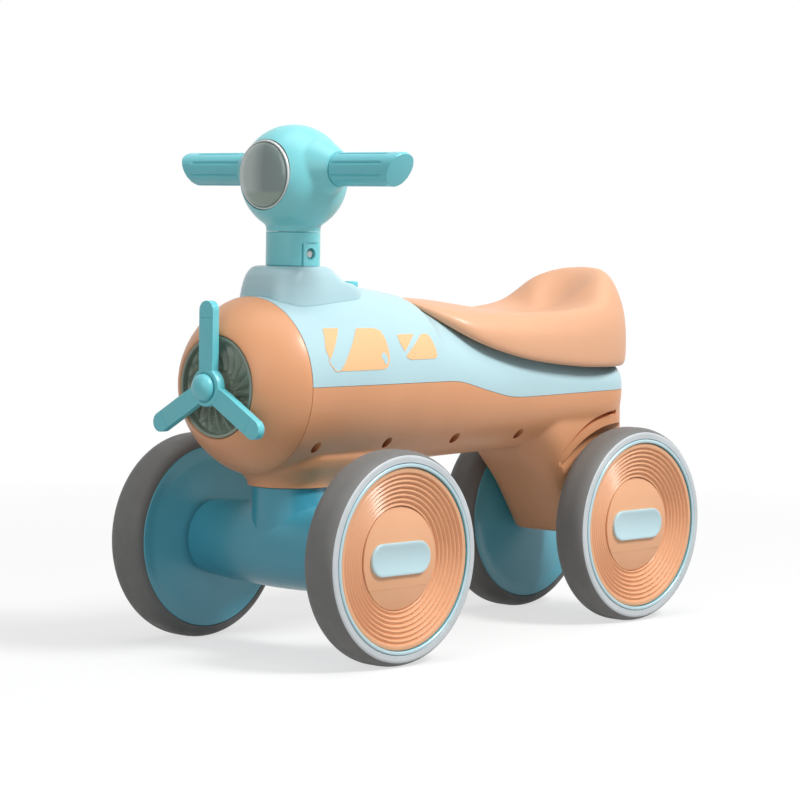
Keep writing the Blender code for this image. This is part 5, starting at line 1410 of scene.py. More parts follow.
@dataclass
class SideWindows:
    """Printed windows on both flanks, each crossed by a glare stripe in the cover's colour."""

    lift: float = 0.00012
    thickness: float = 0.00018
    flank_x: float = 0.080
    low_z: float = 0.2005
    front_y: float = FRONT_AXLE_Y - 0.0252
    panes: tuple[tuple[str, tuple[Pair, ...]], ...] = (
        (
            "window_front_corner",
            (
                (-0.0196, 0.2318),
                (-0.0046, 0.2318),
                (-0.0222, 0.2120),
                (-0.0238, 0.2106),
                (-0.0254, 0.2178),
            ),
        ),
        (
            "window_front",
            (
                (0.0124, 0.2315),
                (0.0290, 0.2313),
                (0.0330, 0.2304),
                (0.0356, 0.2288),
                (0.0372, 0.2243),
                (0.0376, 0.2160),
                (0.0366, 0.2090),
                (0.0340, 0.2044),
                (0.0290, 0.2026),
                (-0.0152, 0.2025),
                (-0.0104, 0.2068),
            ),
        ),
        (
            "window_rear_corner",
            ((0.0511, 0.2264), (0.0697, 0.2266), (0.0545, 0.2142), (0.0519, 0.2203)),
        ),
        (
            "window_rear",
            (
                (0.0778, 0.2262),
                (0.0846, 0.2264),
                (0.0870, 0.2240),
                (0.0894, 0.2160),
                (0.0892, 0.2106),
                (0.0868, 0.2088),
                (0.0600, 0.2086),
                (0.0560, 0.2100),
                (0.0552, 0.2114),
            ),
        ),
    )
    glint: tuple[Pair, ...] = (
        (0.0296, 0.2144),
        (0.0330, 0.2140),
        (0.0346, 0.2112),
        (0.0338, 0.2066),
        (0.0314, 0.2058),
        (0.0300, 0.2088),
        (0.0284, 0.2106),
    )
    line: tuple[Pair, ...] = (
        (-0.0252, 0.2110),
        (-0.0246, 0.2108),
        (-0.0236, 0.2074),
        (-0.0196, 0.2030),
        (-0.0150, 0.2026),
        (-0.0150, 0.2020),
        (-0.0200, 0.2024),
        (-0.0242, 0.2070),
    )

    def build_pane(
        self, name: str, outline: Sequence[Pair], side: float, level: float, soft: float
    ) -> bpy.types.Object:
        """Cut one pane of film and lay it on the flank.

        Args:
            name: Name of the pane.
            outline: Its corners as pairs of y and z, with y from the front axle.
            side: 1 for the left flank, -1 for the right one.
            level: Height of its back above the cover.
            soft: Radius of its corners.

        Returns:
            The pane, without a finish.
        """
        bpy.ops.mesh.primitive_circle_add(vertices=len(outline), fill_type="NGON")
        pane = bpy.context.active_object
        pane.name = f"{name}_{'left' if side > 0.0 else 'right'}"
        for vert, (y, z) in zip(pane.data.vertices, outline):
            vert.co = (side * self.flank_x, FRONT_AXLE_Y + y, z)
        with editing(pane):
            bpy.ops.mesh.select_all(action="SELECT")
            bpy.ops.mesh.bevel(offset=soft, segments=4, affect="VERTICES", clamp_overlap=True)
            for step in range(22):
                bpy.ops.mesh.select_all(action="SELECT")
                cut = self.low_z + step * 0.0015
                bpy.ops.mesh.bisect(plane_co=(0.0, 0.0, cut), plane_no=(0.0, 0.0, 1.0))
            for step in range(30):
                bpy.ops.mesh.select_all(action="SELECT")
                place = self.front_y + step * 0.004
                bpy.ops.mesh.bisect(plane_co=(0.0, place, 0.0), plane_no=(0.0, 1.0, 0.0))
            bpy.ops.mesh.select_all(action="SELECT")
            bpy.ops.mesh.normals_make_consistent(inside=False)
        cover = bpy.data.objects["upper_shell_dressed"]
        apply_modifier(
            pane,
            "SHRINKWRAP",
            target=cover,
            wrap_method="PROJECT",
            use_project_x=True,
            use_project_y=False,
            use_project_z=False,
            use_positive_direction=side < 0.0,
            use_negative_direction=side > 0.0,
            offset=level,
        )
        with editing(pane):
            shape = bmesh.from_edit_mesh(pane.data)
            for face in shape.faces:
                if face.normal.x * side < 0.0:
                    face.normal_flip()
            bmesh.update_edit_mesh(pane.data)
        apply_modifier(pane, "SOLIDIFY", thickness=self.thickness, offset=1.0)
        return pane

    def build(self) -> None:
        """Lay every pane on both flanks, with the glare spot and the edge line."""
        for side in (1.0, -1.0):
            for name, outline in self.panes:
                pane = self.build_pane(name, outline, side, self.lift, 0.0016)
                finish_piece(pane, WINDOW_FILM, "body", (), 60.0)
            above = self.lift + self.thickness
            spot = self.build_pane("window_glint", self.glint, side, above, 0.0010)
            finish_piece(spot, LIGHT_BLUE, "body", (), 60.0)
            edge = self.build_pane("window_line", self.line, side, self.lift, 0.0002)
            finish_piece(edge, WINDOW_FILM, "body", (), 60.0)


@dataclass
class Nose:
    """Orange cowl with the pleated air intake set into it."""

    cowl_length: float = 0.0330
    lip_radius: float = 0.0366
    intake_radius: float = 0.0355
    intake_rim: float = 0.0024
    intake_depth: float = 0.0120
    floor_depth: float = 0.0048
    boss_radius: float = 0.0110
    pleats: int = 18
    long_fold: float = 0.72
    short_fold: float = 0.28
    twist: float = 0.55
    propeller_gap: float = 0.0028

    def build_cowl(self) -> None:
        """Turn the cowl's rounded shell."""
        power = 2.0 / 1.3
        bore = self.intake_radius + JOINT_GAP
        points = [(bore, -self.cowl_length + 0.0110), (bore, -self.cowl_length + 0.0008)]
        for i in range(41):
            angle = 0.5 * math.pi * i / 40.0
            along = math.cos(angle) ** power
            across = math.sin(angle) ** power
            radius = self.lip_radius + (BODY_RADIUS - self.lip_radius) * across
            points.append((radius, -JOINT_GAP - (self.cowl_length - JOINT_GAP) * along))
        points[-1] = (BODY_RADIUS - 0.0003, -JOINT_GAP)
        points.insert(-1, (BODY_RADIUS, -JOINT_GAP - 0.0004))
        points += [(BODY_RADIUS - 0.0040, -JOINT_GAP), (BODY_RADIUS - 0.0040, -0.0080)]
        cowl = turned("nose_cowl_dressed", points, (0.0, SEAM_Y, BODY_AXIS_Z), Axis.BACK, 144)
        finish_piece(cowl, ORANGE, "body", ["nose_cowl"], 40.0)

    def build_intake(self) -> None:
        """Turn the intake and fold its floor into twisted pleats."""
        front = -self.cowl_length - 0.0002
        floor = -self.cowl_length + self.intake_depth - 0.0020
        rim = self.intake_radius - self.intake_rim
        boss_front = -self.cowl_length - self.propeller_gap
        level = front + self.floor_depth
        points = [
            (self.intake_radius, front + 0.0006),
            (self.intake_radius, floor + 0.0030),
            (0.0032, floor + 0.0030),
            (0.0032, boss_front),
            (self.boss_radius * 0.8, boss_front),
            (self.boss_radius * 0.93, boss_front + 0.0010),
            (self.boss_radius, boss_front + 0.0030),
            (self.boss_radius, front + 0.0040),
            (self.boss_radius + 0.0010, level),
        ]
        inner = self.boss_radius + 0.0010
        points += [(inner + (rim - inner) * k / 12.0, level) for k in range(1, 12)]
        points += [
            (rim, level),
            (rim, front + 0.0006),
            (rim + 0.0003, front + 0.0002),
            (rim + 0.0009, front),
            (self.intake_radius - 0.0009, front),
            (self.intake_radius - 0.0003, front + 0.0002),
        ]
        intake = turned("intake_grille_dressed", points, (0.0, 0.0, 0.0), Axis.UP, self.pleats * 16)
        for vert in intake.data.vertices:
            radius = math.hypot(vert.co.x, vert.co.y)
            on_floor = abs(vert.co.z - level) < 1e-5
            if not on_floor or radius < inner - 1e-5 or radius > rim - 1e-5:
                continue
            share = (radius - inner) / (rim - inner)
            angle = math.atan2(vert.co.y, vert.co.x) + self.twist * share
            wave = (angle * self.pleats / (2.0 * math.pi)) % 1.0
            rising = wave < self.long_fold
            fold = wave / self.long_fold if rising else (1.0 - wave) / self.short_fold
            arch = max(0.0, math.sin(math.pi * min(share * 1.05, 1.0)))
            depth = 0.0008 + 0.0042 * arch**0.6
            vert.co.z += 0.0006 + depth * fold
        intake.rotation_euler = Axis.BACK.value
        intake.location = (0.0, SEAM_Y, BODY_AXIS_Z)
        settle(intake)
        finish_piece(intake, INTAKE_BEIGE, "body", ["intake_grille"], 22.0)

    def build(self) -> None:
        """Make the whole nose."""
        self.build_cowl()
        self.build_intake()


@dataclass
class Propeller:
    """Three flat blades with round tips on a domed hub."""

    back_y: float = FRONT_AXLE_Y - 0.0790
    bore: float = 0.0031
    hub_radius: float = 0.0135
    hub_depth: float = 0.0077
    length: float = 0.0599
    blade_width: float = 0.0137
    blade_thickness: float = 0.0060
    dome_radius: float = 0.0095
    dome_length: float = 0.0077
    tip_share: float = 0.80
    tip_step: float = 0.00035

    def blade(self, name: str) -> bpy.types.Object:
        """One upright blade, with a fine step before its tip.

        Args:
            name: Name of the new object.

        Returns:
            The blade, with its root on the propeller's axis.
        """
        half = self.blade_width / 2.0
        straight = self.length - half
        outline = [(half * 0.92, 0.004), (half, 0.020), (half, straight)]
        outline += arc((0.0, straight), half, 0.0, math.pi, 25)[1:-1]
        outline += [(-half, straight), (-half, 0.020), (-half * 0.92, 0.004)]
        middle = -self.hub_depth / 2.0
        depth = self.blade_thickness / 2.0
        rings = [[(x, middle + d, z) for x, z in outline] for d in (depth, -depth)]
        blade = lofted(name, rings)
        level = self.length * self.tip_share
        face = middle - depth
        low, high = (-0.02, face - 0.01, level), (0.02, face + self.tip_step, level + self.tip_step)
        combine(blade, block("tip_step", low, high), Fit.CUT)
        round_edges(blade, 0.0011, 4, 60.0)
        return blade

    def build(self) -> None:
        """Make the propeller and its dome."""
        centre = (0.0, self.back_y, BODY_AXIS_Z)
        depth = self.hub_depth
        points = [
            (self.bore, 0.0),
            (self.hub_radius - 0.0010, 0.0),
            (self.hub_radius, -0.0010),
            (self.hub_radius, -depth + 0.0016),
            (self.hub_radius - 0.0005, -depth + 0.0005),
            (self.hub_radius - 0.0016, -depth),
            (self.dome_radius + 0.0011, -depth),
            (self.dome_radius + 0.0007, -depth + 0.0006),
            (self.bore, -depth + 0.0006),
        ]
        propeller = turned("propeller_dressed", points, centre, Axis.BACK, 96)
        for i in range(3):
            blade = self.blade(f"blade_{i + 1}")
            turn = Matrix.Rotation(2.0 * math.pi * i / 3.0, 4, "Y")
            blade.data.transform(Matrix.Translation(centre) @ turn)
            combine(propeller, blade, Fit.JOIN)
        finish_piece(propeller, SOFT_BLUE, "propeller", ["propeller"], 30.0)
        dome = [(0.0, 0.0), (self.dome_radius, 0.0)]
        dome += [
            (self.dome_radius * math.cos(a), -0.0010 - (self.dome_length - 0.0010) * math.sin(a))
            for a in spread(0.0, 0.5 * math.pi, 20)
        ]
        dome[-1] = (0.0, -self.dome_length)
        front = (0.0, self.back_y - depth - JOINT_GAP, BODY_AXIS_Z)
        cap = turned("propeller_cap_dressed", dome, front, Axis.BACK, 96)
        finish_piece(cap, SOFT_BLUE, "propeller", ["propeller_cap"])


@dataclass
class NeckHousing:
    """Light blue housing at the foot of the steering column."""

    half_width: float = 0.0280
    front: float = 0.0335
    rear: float = 0.0500
    top: float = 0.2741
    bore: float = 0.0153

    def build(self, fuselage: Fuselage) -> None:
        """Make the housing, trimmed to the body.

        Args:
            fuselage: The body that it stands on.
        """
        wide, front, rear, top = self.half_width, self.front, self.rear, self.top
        rows = [
            (BODY_AXIS_Z + 0.040, wide + 0.0030, front + 0.0040, rear + 0.0040, 0.0200),
            (RIDGE_Z - 0.0060, wide + 0.0010, front + 0.0010, rear + 0.0020, 0.0190),
            (RIDGE_Z + 0.0010, wide, front, rear - 0.0040, 0.0190),
            (RIDGE_Z + 0.0038, wide - 0.0005, front - 0.0008, rear - 0.0140, 0.0185),
            (top - 0.0060, wide - 0.0018, front - 0.0025, rear - 0.0215, 0.0180),
            (top - 0.0022, wide - 0.0038, front - 0.0055, rear - 0.0255, 0.0165),
            (top - 0.0006, wide - 0.0056, front - 0.0080, rear - 0.0280, 0.0155),
            (top, wide - 0.0075, front - 0.0105, rear - 0.0305, 0.0145),
        ]
        rings = []
        for z, half_width, ahead, behind, corner in smooth_rows(rows, 5):
            rings.append(
                rounded_box_ring(z, half_width, STEER_Y - ahead, STEER_Y + behind, corner, 14)
            )
        neck = lofted("neck_housing_dressed", rings)
        combine(neck, fuselage.solid("neck_seat", -SEAT_GAP), Fit.CUT)
        bore = bar("neck_bore", self.bore, (0.0, STEER_Y, 0.2), (0.0, STEER_Y, 0.3), 64)
        combine(neck, bore, Fit.CUT)
        finish_piece(neck, LIGHT_BLUE, "body", ["neck_housing"], 50.0)


@dataclass
class MusicButton:
    """Small sprung button behind the column."""

    radius: float = 0.0050
    top: float = RIDGE_Z + 0.0035

    def build(self) -> None:
        """Turn the button with a dished top."""
        points = [(0.0, 0.2500), (0.0072, 0.2500), (0.0072, 0.2512), (self.radius, 0.2514)]
        points += [(self.radius, self.top - 0.0012)]
        points += arc((self.radius - 0.0012, self.top - 0.0012), 0.0012, 0.0, 0.5 * math.pi, 6)
        points += [(self.radius - 0.0018, self.top - 0.0002), (0.0, self.top - 0.0004)]
        button = turned("power_button_dressed", points, (0.0, BUTTON_Y, 0.0), Axis.UP, 64)
        finish_piece(button, SOFT_BLUE, "power_button", ["power_button"])


@dataclass
class Saddle:
    """Orange saddle with a dished seat and an upturned back."""

    tail: float = REAR_AXLE_Y + 0.0336
    half_width: float = 0.0610
    back_z: float = 0.2732
    dish_z: float = 0.2390
    dish_y: float = REAR_AXLE_Y - 0.0499
    edge_z: float = 0.1962
    wall: float = 0.0030
    skin: float = 0.0015
    softness: int = 22

    def stations(self) -> list[tuple[float, ...]]:
        """Left half of the saddle, from the middle of its back to its tip.

        Returns:
            Rows of the outline's x and y, the crest's x, y and z, and the edge's z.
        """
        wide, tail, tip = self.half_width, self.tail, SADDLE_TIP_Y
        back, dish, edge = self.back_z, self.dish_z, self.edge_z
        return [
            (0.0, tail, 0.0, tail - 0.0215, back, edge),
            (wide * 0.47, tail - 0.0092, wide * 0.31, tail - 0.0265, back - 0.0012, edge),
            (wide * 0.825, tail - 0.0325, wide * 0.58, tail - 0.0420, back - 0.0085, edge + 0.0005),
            (wide * 0.975, tail - 0.0600, wide * 0.78, tail - 0.0640, back - 0.0255, edge + 0.0010),
            (wide, tail - 0.0980, wide * 0.80, tail - 0.0980, dish + 0.0025, edge + 0.0025),
            (wide, tail - 0.1480, wide * 0.75, tail - 0.1475, dish + 0.0010, edge + 0.0075),
            (wide * 0.985, tip + 0.0640, wide * 0.70, tip + 0.0660, dish + 0.0017, edge + 0.0145),
            (wide * 0.93, tip + 0.0400, wide * 0.61, tip + 0.0440, dish + 0.0030, edge + 0.0220),
            (wide * 0.79, tip + 0.0230, wide * 0.49, tip + 0.0285, dish + 0.0055, edge + 0.0315),
            (wide * 0.53, tip + 0.0085, wide * 0.31, tip + 0.0150, dish + 0.0090, edge + 0.0435),
            (wide * 0.27, tip + 0.0010, wide * 0.15, tip + 0.0070, dish + 0.0112, edge + 0.0515),
            (0.0, tip - 0.0015, 0.0, tip + 0.0035, dish + 0.0120, edge + 0.0540),
        ]

    def lump(self, name: str) -> bpy.types.Object:
        """Solid below the saddle's upper side.

        Args:
            name: Name of the new object.

        Returns:
            The solid.
        """
        rows = smooth_rows(self.stations(), 8)
        dish = Vector((0.0, self.dish_y, self.dish_z))
        section = smooth_rows(
            [
                (0.0, 0.0),
                (0.34, 0.065),
                (0.66, 0.22),
                (0.90, 0.42),
                (1.0, 0.66),
                (1.0, 0.86),
                (0.985, 0.93),
                (0.93, 0.975),
                (0.80, 1.0),
            ],
            3,
        )
        bowl = (0.08, 0.17, 0.26, 0.35, 0.44, 0.53, 0.62, 0.70, 0.78, 0.86, 0.93)
        columns = []
        for ox, oy, kx, ky, kz, ez in rows:
            crest = Vector((kx, ky, kz))
            column = []
            for step in bowl:
                point = dish.lerp(crest, step)
                rise = 0.5 - 0.5 * math.cos(math.pi * step**1.25)
                point.z = dish.z + (crest.z - dish.z) * rise
                column.append(tuple(point))
            for out, down in section:
                column.append(
                    (kx + (ox - kx) * out, ky + (oy - ky) * out, kz + (ez - kz) * down)
                )
            columns.append(column)
        columns += [[(-x, y, z) for x, y, z in column] for column in columns[-2:0:-1]]
        rings = [list(ring) for ring in zip(*columns)]
        pole = [(x * 0.02, dish.y + (y - dish.y) * 0.02, dish.z) for x, y, z in rings[0]]
        rings.insert(0, pole)
        base = self.edge_z - 0.004
        rings.append([(x * 0.5, dish.y + (y - dish.y) * 0.5, base) for x, y, z in rings[-1]])
        return lofted(name, rings)

    def build(self, fuselage: Fuselage) -> None:
        """Make the saddle, hollow underneath and trimmed to the body.

        Args:
            fuselage: The body that it is screwed to.
        """
        saddle = self.lump("saddle_dressed")
        melt(saddle, self.skin, self.softness)
        hollow = duplicate(saddle, "saddle_hollow")
        for vert in hollow.data.vertices:
            inward = Vector((-vert.co.x, (self.dish_y - vert.co.y) * 0.5, 0.0))
            if inward.length > 1e-6:
                vert.co += inward.normalized() * min(self.wall, inward.length)
            vert.co.z -= 2.2 * self.wall
        combine(saddle, hollow, Fit.CUT)
        combine(saddle, fuselage.solid("saddle_seat", -SEAT_GAP), Fit.CUT)
        # Paler orange: partly painted light of the saddle's lit top.
        finish_piece(saddle, SADDLE_LIT_ORANGE, "body", ["saddle"], 42.0)


@dataclass
class SteeringHead:
    """Round lamp head with its two grips, on the column sleeve."""

    head_radius: float = 0.0382
    head_z: float = 0.3357
    column_radius: float = 0.0193
    column_top: float = 0.2982
    column_low: float = 0.2744
    pad_x: float = 0.0181
    pad_half: float = 0.0074
    pad_top: float = 0.2910
    screw_z: float = 0.2827
    handle_z: float = 0.3423
    handle_tip: float = 0.1075
    grip_radius: float = 0.0119
    grip_start: float = 0.0450
    groove_count: int = 8
    groove_depth: float = 0.0012
    groove_width: float = 0.00065
    end_normal: Pair = (0.893, -0.450)
    lens_z: float = LENS_Z
    lens_radius: float = LENS_RADIUS
    bezel_radius: float = 0.0245
    head_screw_z: float = 0.3602
    head_recess: float = 0.0040
    sleeve_bore: float = 0.0113
    sleeve_recess: float = 0.0044
    skin: float = 0.0010
    softness: int = 14

    def head_solid(self) -> bpy.types.Object:
        """Ball, neck and both grip roots, flowing into one another.

        Returns:
            The solid head, before it is parted into its shells.
        """
        low = self.column_top + JOINT_GAP
        join = -math.acos(self.column_radius / self.head_radius)
        points = [(0.0, low - 0.006), (self.column_radius, low - 0.006)]
        for angle in spread(join, 0.5 * math.pi, 48):
            radius = self.head_radius
            points.append((radius * math.cos(angle), self.head_z + radius * math.sin(angle)))
        points[-1] = (0.0, self.head_z + self.head_radius)
        head = turned("head", points, (0.0, STEER_Y, 0.0), Axis.UP, 128)
        for axis in (Axis.LEFT, Axis.RIGHT):
            radius, end = self.grip_radius, self.grip_start
            root = [(0.0, 0.010), (0.0245, 0.014), (0.0214, end - 0.016), (0.0176, end - 0.009)]
            root += [(0.0146, end - 0.004), (radius + 0.0004, end), (radius + 0.0002, end + 0.006)]
            root += [(0.0, end + 0.006)]
            cone = turned("grip_root", root, (0.0, STEER_Y, self.handle_z), axis, 96)
            combine(head, cone, Fit.JOIN)
        melt(head, self.skin, self.softness)
        combine(head, block("under_head", (-0.1, -0.3, 0.2), (0.1, 0.0, low)), Fit.CUT)
        for side in (1.0, -1.0):
            near, far = sorted((side * (self.grip_start - JOINT_GAP), side * PAST_SIDES))
            combine(head, block("end", (near, -0.3, 0.2), (far, 0.0, 0.5)), Fit.CUT)
        return head

    def build_head(self) -> None:
        """Make the head's front and rear shells."""
        head = self.head_solid()
        seat = bar(
            "lens_seat",
            self.bezel_radius + 0.0004,
            (0.0, STEER_Y - 0.08, self.lens_z),
            (0.0, STEER_Y - 0.0190, self.lens_z),
            128,
        )
        combine(head, seat, Fit.CUT)
        z = self.head_screw_z
        floor, open_end = (0.0, STEER_Y + 0.0168, z), (0.0, STEER_Y + 0.08, z)
        combine(head, bar("head_recess", self.head_recess, floor, open_end, 32), Fit.CUT)
        halves = (("head_front_shell", -1.0), ("head_rear_shell", 1.0))
        for name, side in halves:
            half = duplicate(head, name + "_dressed")
            near, far = sorted((STEER_Y + side * HAIR_GAP, STEER_Y + side * PAST_SIDES))
            kept = block("half", (-PAST_SIDES, near, 0.2), (PAST_SIDES, far, 0.5))
            combine(half, kept, Fit.KEEP)
            finish_piece(half, HEAD_BLUE, "steering", [name], 32.0)
        bpy.data.objects.remove(head, do_unlink=True)

    def build_lamp(self) -> None:
        """Make the bezel, a ring of painted shadow in its gap and the domed lens."""
        reach = math.sqrt(self.head_radius**2 - (self.bezel_radius + JOINT_GAP) ** 2)
        front = STEER_Y - reach - 0.0012
        shelf = front + 0.0036
        place = (0.0, 0.0, self.lens_z)
        seat = self.lens_radius + JOINT_GAP
        bezel = [(self.bezel_radius, front + 0.0085), (self.bezel_radius, front + 0.0009)]
        bezel += [(self.bezel_radius - 0.0003, front + 0.0003), (self.bezel_radius - 0.0009, front)]
        bezel += [(seat + 0.0005, front), (seat, front + 0.0005), (seat, shelf)]
        bezel += [(seat - 0.0030, shelf), (seat - 0.0030, front + 0.0085)]
        rim = turned("headlight_bezel_dressed", bezel, place, Axis.BACK, 128)
        finish_piece(rim, RIM_WHITE, "steering", ["headlight_bezel"])
        lens = [(0.0, shelf - JOINT_GAP), (self.lens_radius, shelf - JOINT_GAP)]
        lens += [
            (self.lens_radius * math.cos(a), front + 0.0004 - 0.0045 * math.sin(a))
            for a in spread(0.0, 0.5 * math.pi, 24)
        ]
        lens[-1] = (0.0, front - 0.0041)
        glass = turned("headlight_lens_dressed", lens, place, Axis.BACK, 128)
        finish_piece(glass, LENS_GREY, "steering", ["headlight_lens"])
        # Dark ring in the gap round the bezel: painted shadow.
        gap = self.bezel_radius
        ring = [(gap + 0.0001, front + 0.0050), (gap + 0.0001, front + 0.0016)]
        ring += [(gap + 0.00038, front + 0.0016), (gap + 0.00038, front + 0.0050)]
        line = turned("lamp_shadow_ring", ring, place, Axis.BACK, 128)
        finish_piece(line, PAINTED_GAP_SHADOW, "steering")

    def build_grip(self, axis: Axis, name: str) -> None:
        """Make one grip with lengthwise grooves and a slanted end.

        Args:
            axis: Side that it points to.
            name: The frame's node that it stands for.
        """
        tip = self.handle_tip
        start = self.grip_start
        points = [(0.0, start), (self.grip_radius - 0.0004, start)]
        for x in spread(start + 0.0005, tip - 0.0022, 40):
            points.append((self.grip_radius, x))
        points += arc((self.grip_radius - 0.0022, tip - 0.0022), 0.0022, 0.15, 0.5 * math.pi, 6)
        points.append((0.0, tip))
        grip = turned(name + "_dressed", points, (0.0, 0.0, 0.0), Axis.UP, 240)
        for vert in grip.data.vertices:
            radius = math.hypot(vert.co.x, vert.co.y)
            if radius < self.grip_radius - 0.0005:
                continue
            angle = math.atan2(vert.co.y, vert.co.x)
            turn = (angle / (2.0 * math.pi) * self.groove_count) % 1.0
            away = abs(turn - 0.5) * 2.0 * math.pi * self.grip_radius / self.groove_count
            ends = min(vert.co.z - start - 0.0012, tip - 0.013 - vert.co.z)
            fade = max(0.0, min(1.0, ends / 0.0012))
            depth = self.groove_depth * fade * math.exp(-((away / self.groove_width) ** 2))
            vert.co.x *= (radius - depth) / radius
            vert.co.y *= (radius - depth) / radius
        grip.rotation_euler = axis.value
        grip.location = (0.0, STEER_Y, self.handle_z)
        settle(grip)
        side = 1.0 if axis is Axis.LEFT else -1.0
        outwards, downwards = self.end_normal
        with editing(grip):
            bpy.ops.mesh.select_all(action="SELECT")
            bpy.ops.mesh.bisect(
                plane_co=(side * (tip - 0.0012), STEER_Y, self.handle_z + 0.0080),
                plane_no=(side * outwards, 0.0, downwards),
                clear_outer=True,
                use_fill=True,
            )
        round_edges(grip, 0.0012, 3, 30.0)
        finish_piece(grip, SOFT_BLUE, "steering", [name], 30.0)

    def build_tube(self) -> None:
        """Make the tube inside the head and grips."""
        reach = self.handle_tip - 0.0135
        profile = [(0.0068, -reach), (0.0080, -reach), (0.0080, reach), (0.0068, reach)]
        place = (0.0, STEER_Y, self.handle_z)
        tube = turned("handlebar_tube_dressed", profile, place, Axis.LEFT, 48)
        finish_piece(tube, STEEL, "steering", ["handlebar_tube"])

    def build_sleeve(self) -> None:
        """Make the column sleeve with its flat pad and screw recess."""
        low, top, radius = self.column_low, self.column_top, self.column_radius
        bore = self.sleeve_bore
        points = [(bore, low), (radius - 0.0004, low), (radius, low + 0.0004)]
        points += [(radius, top - 0.0006), (radius - 0.0006, top), (bore, top)]
        sleeve = turned("column_sleeve_dressed", points, (0.0, STEER_Y, 0.0), Axis.UP, 128)
        front, rear = STEER_Y - self.pad_half, STEER_Y + self.pad_half
        past, z = 0.04, self.screw_z
        pad = block("pad", (0.0133, front, low), (self.pad_x, rear, self.pad_top))
        combine(sleeve, pad, Fit.JOIN)
        trim = block(
            "trim", (self.pad_x, front, low - 0.001), (past, STEER_Y + 0.02, self.pad_top)
        )
        combine(sleeve, trim, Fit.CUT)
        slot = block(
            "slot",
            (self.pad_x - 0.0018, front - 0.0012, low - 0.001),
            (past, front, self.pad_top - 0.001),
        )
        combine(sleeve, slot, Fit.CUT)
        recess = bar("recess", self.sleeve_recess, (0.0144, STEER_Y, z), (past, STEER_Y, z), 48)
        combine(sleeve, recess, Fit.CUT)
        finish_piece(sleeve, HEAD_BLUE, "steering", ["column_sleeve"], 30.0)

    def build(self) -> None:
        """Make the head, lamp, grips and sleeve."""
        self.build_head()
        self.build_lamp()
        self.build_grip(Axis.LEFT, "grip_left")
        self.build_grip(Axis.RIGHT, "grip_right")
        self.build_tube()
        self.build_sleeve()


@dataclass
class FrontAxleHousing:
    """Deep blue barrel round the front axle, with the steering stem on top."""

    length: float = 0.0794
    end_radius: float = 0.0272
    middle_radius: float = 0.0310
    stem_radius: float = 0.0268
    stem_top: float = 0.1183
    bore: float = Wheel.bore

    def build(self) -> None:
        """Make the barrel and stem as one piece."""
        points = [(0.0, -self.length), (self.end_radius - 0.0012, -self.length)]
        points += [(self.end_radius, -self.length + 0.0012)]
        for share in spread(-0.96, 0.96, 49):
            swell = (self.middle_radius - self.end_radius) * math.cos(0.5 * math.pi * share)
            points.append((self.end_radius + swell, share * self.length))
        points += [(self.end_radius, self.length - 0.0012)]
        points += [(self.end_radius - 0.0012, self.length), (0.0, self.length)]
        centre = (0.0, FRONT_AXLE_Y, WHEEL_RADIUS)
        housing = turned("front_axle_housing_dressed", points, centre, Axis.LEFT, 128)
        stem = turned(
            "stem",
            [
                (0.0, WHEEL_RADIUS),
                (self.stem_radius, WHEEL_RADIUS),
                (self.stem_radius, self.stem_top - 0.0006),
                (self.stem_radius - 0.0006, self.stem_top),
                (0.0, self.stem_top),
            ],
            (0.0, STEER_Y, 0.0),
            Axis.UP,
            128,
        )
        combine(housing, stem, Fit.JOIN)
        right = (-PAST_SIDES, FRONT_AXLE_Y, WHEEL_RADIUS)
        left = (PAST_SIDES, FRONT_AXLE_Y, WHEEL_RADIUS)
        combine(housing, bar("axle_bore", self.bore, right, left), Fit.CUT)
        finish_piece(housing, AXLE_BLUE, "steering", ["front_axle_housing"], 30.0)


@dataclass
class HiddenParts:
    """Finishes of the frame's own nodes that stay: fasteners, axles and inner parts."""

    finishes: tuple[tuple[str, Finish], ...] = (
        ("upper_steering_bush", RIM_WHITE),
        ("lower_steering_bush", RIM_WHITE),
        ("battery_box", MATT_BLACK),
        ("speaker", MATT_BLACK),
        ("sound_board", BOARD_GREEN),
        ("led_board", BOARD_GREEN),
        ("battery_left", CELL_WRAP),
        ("battery_right", CELL_WRAP),
    )

    def build(self, frame: dict) -> None:
        """Give each remaining node its material.
        """
        chosen = dict(self.finishes)
        for name, node in frame["nodes"].items():
            finish = chosen.get(name, STEEL)
            if not node.material_slots:
                node.data.materials.append(finish.material())
            for slot in node.material_slots:
                slot.material = finish.material()


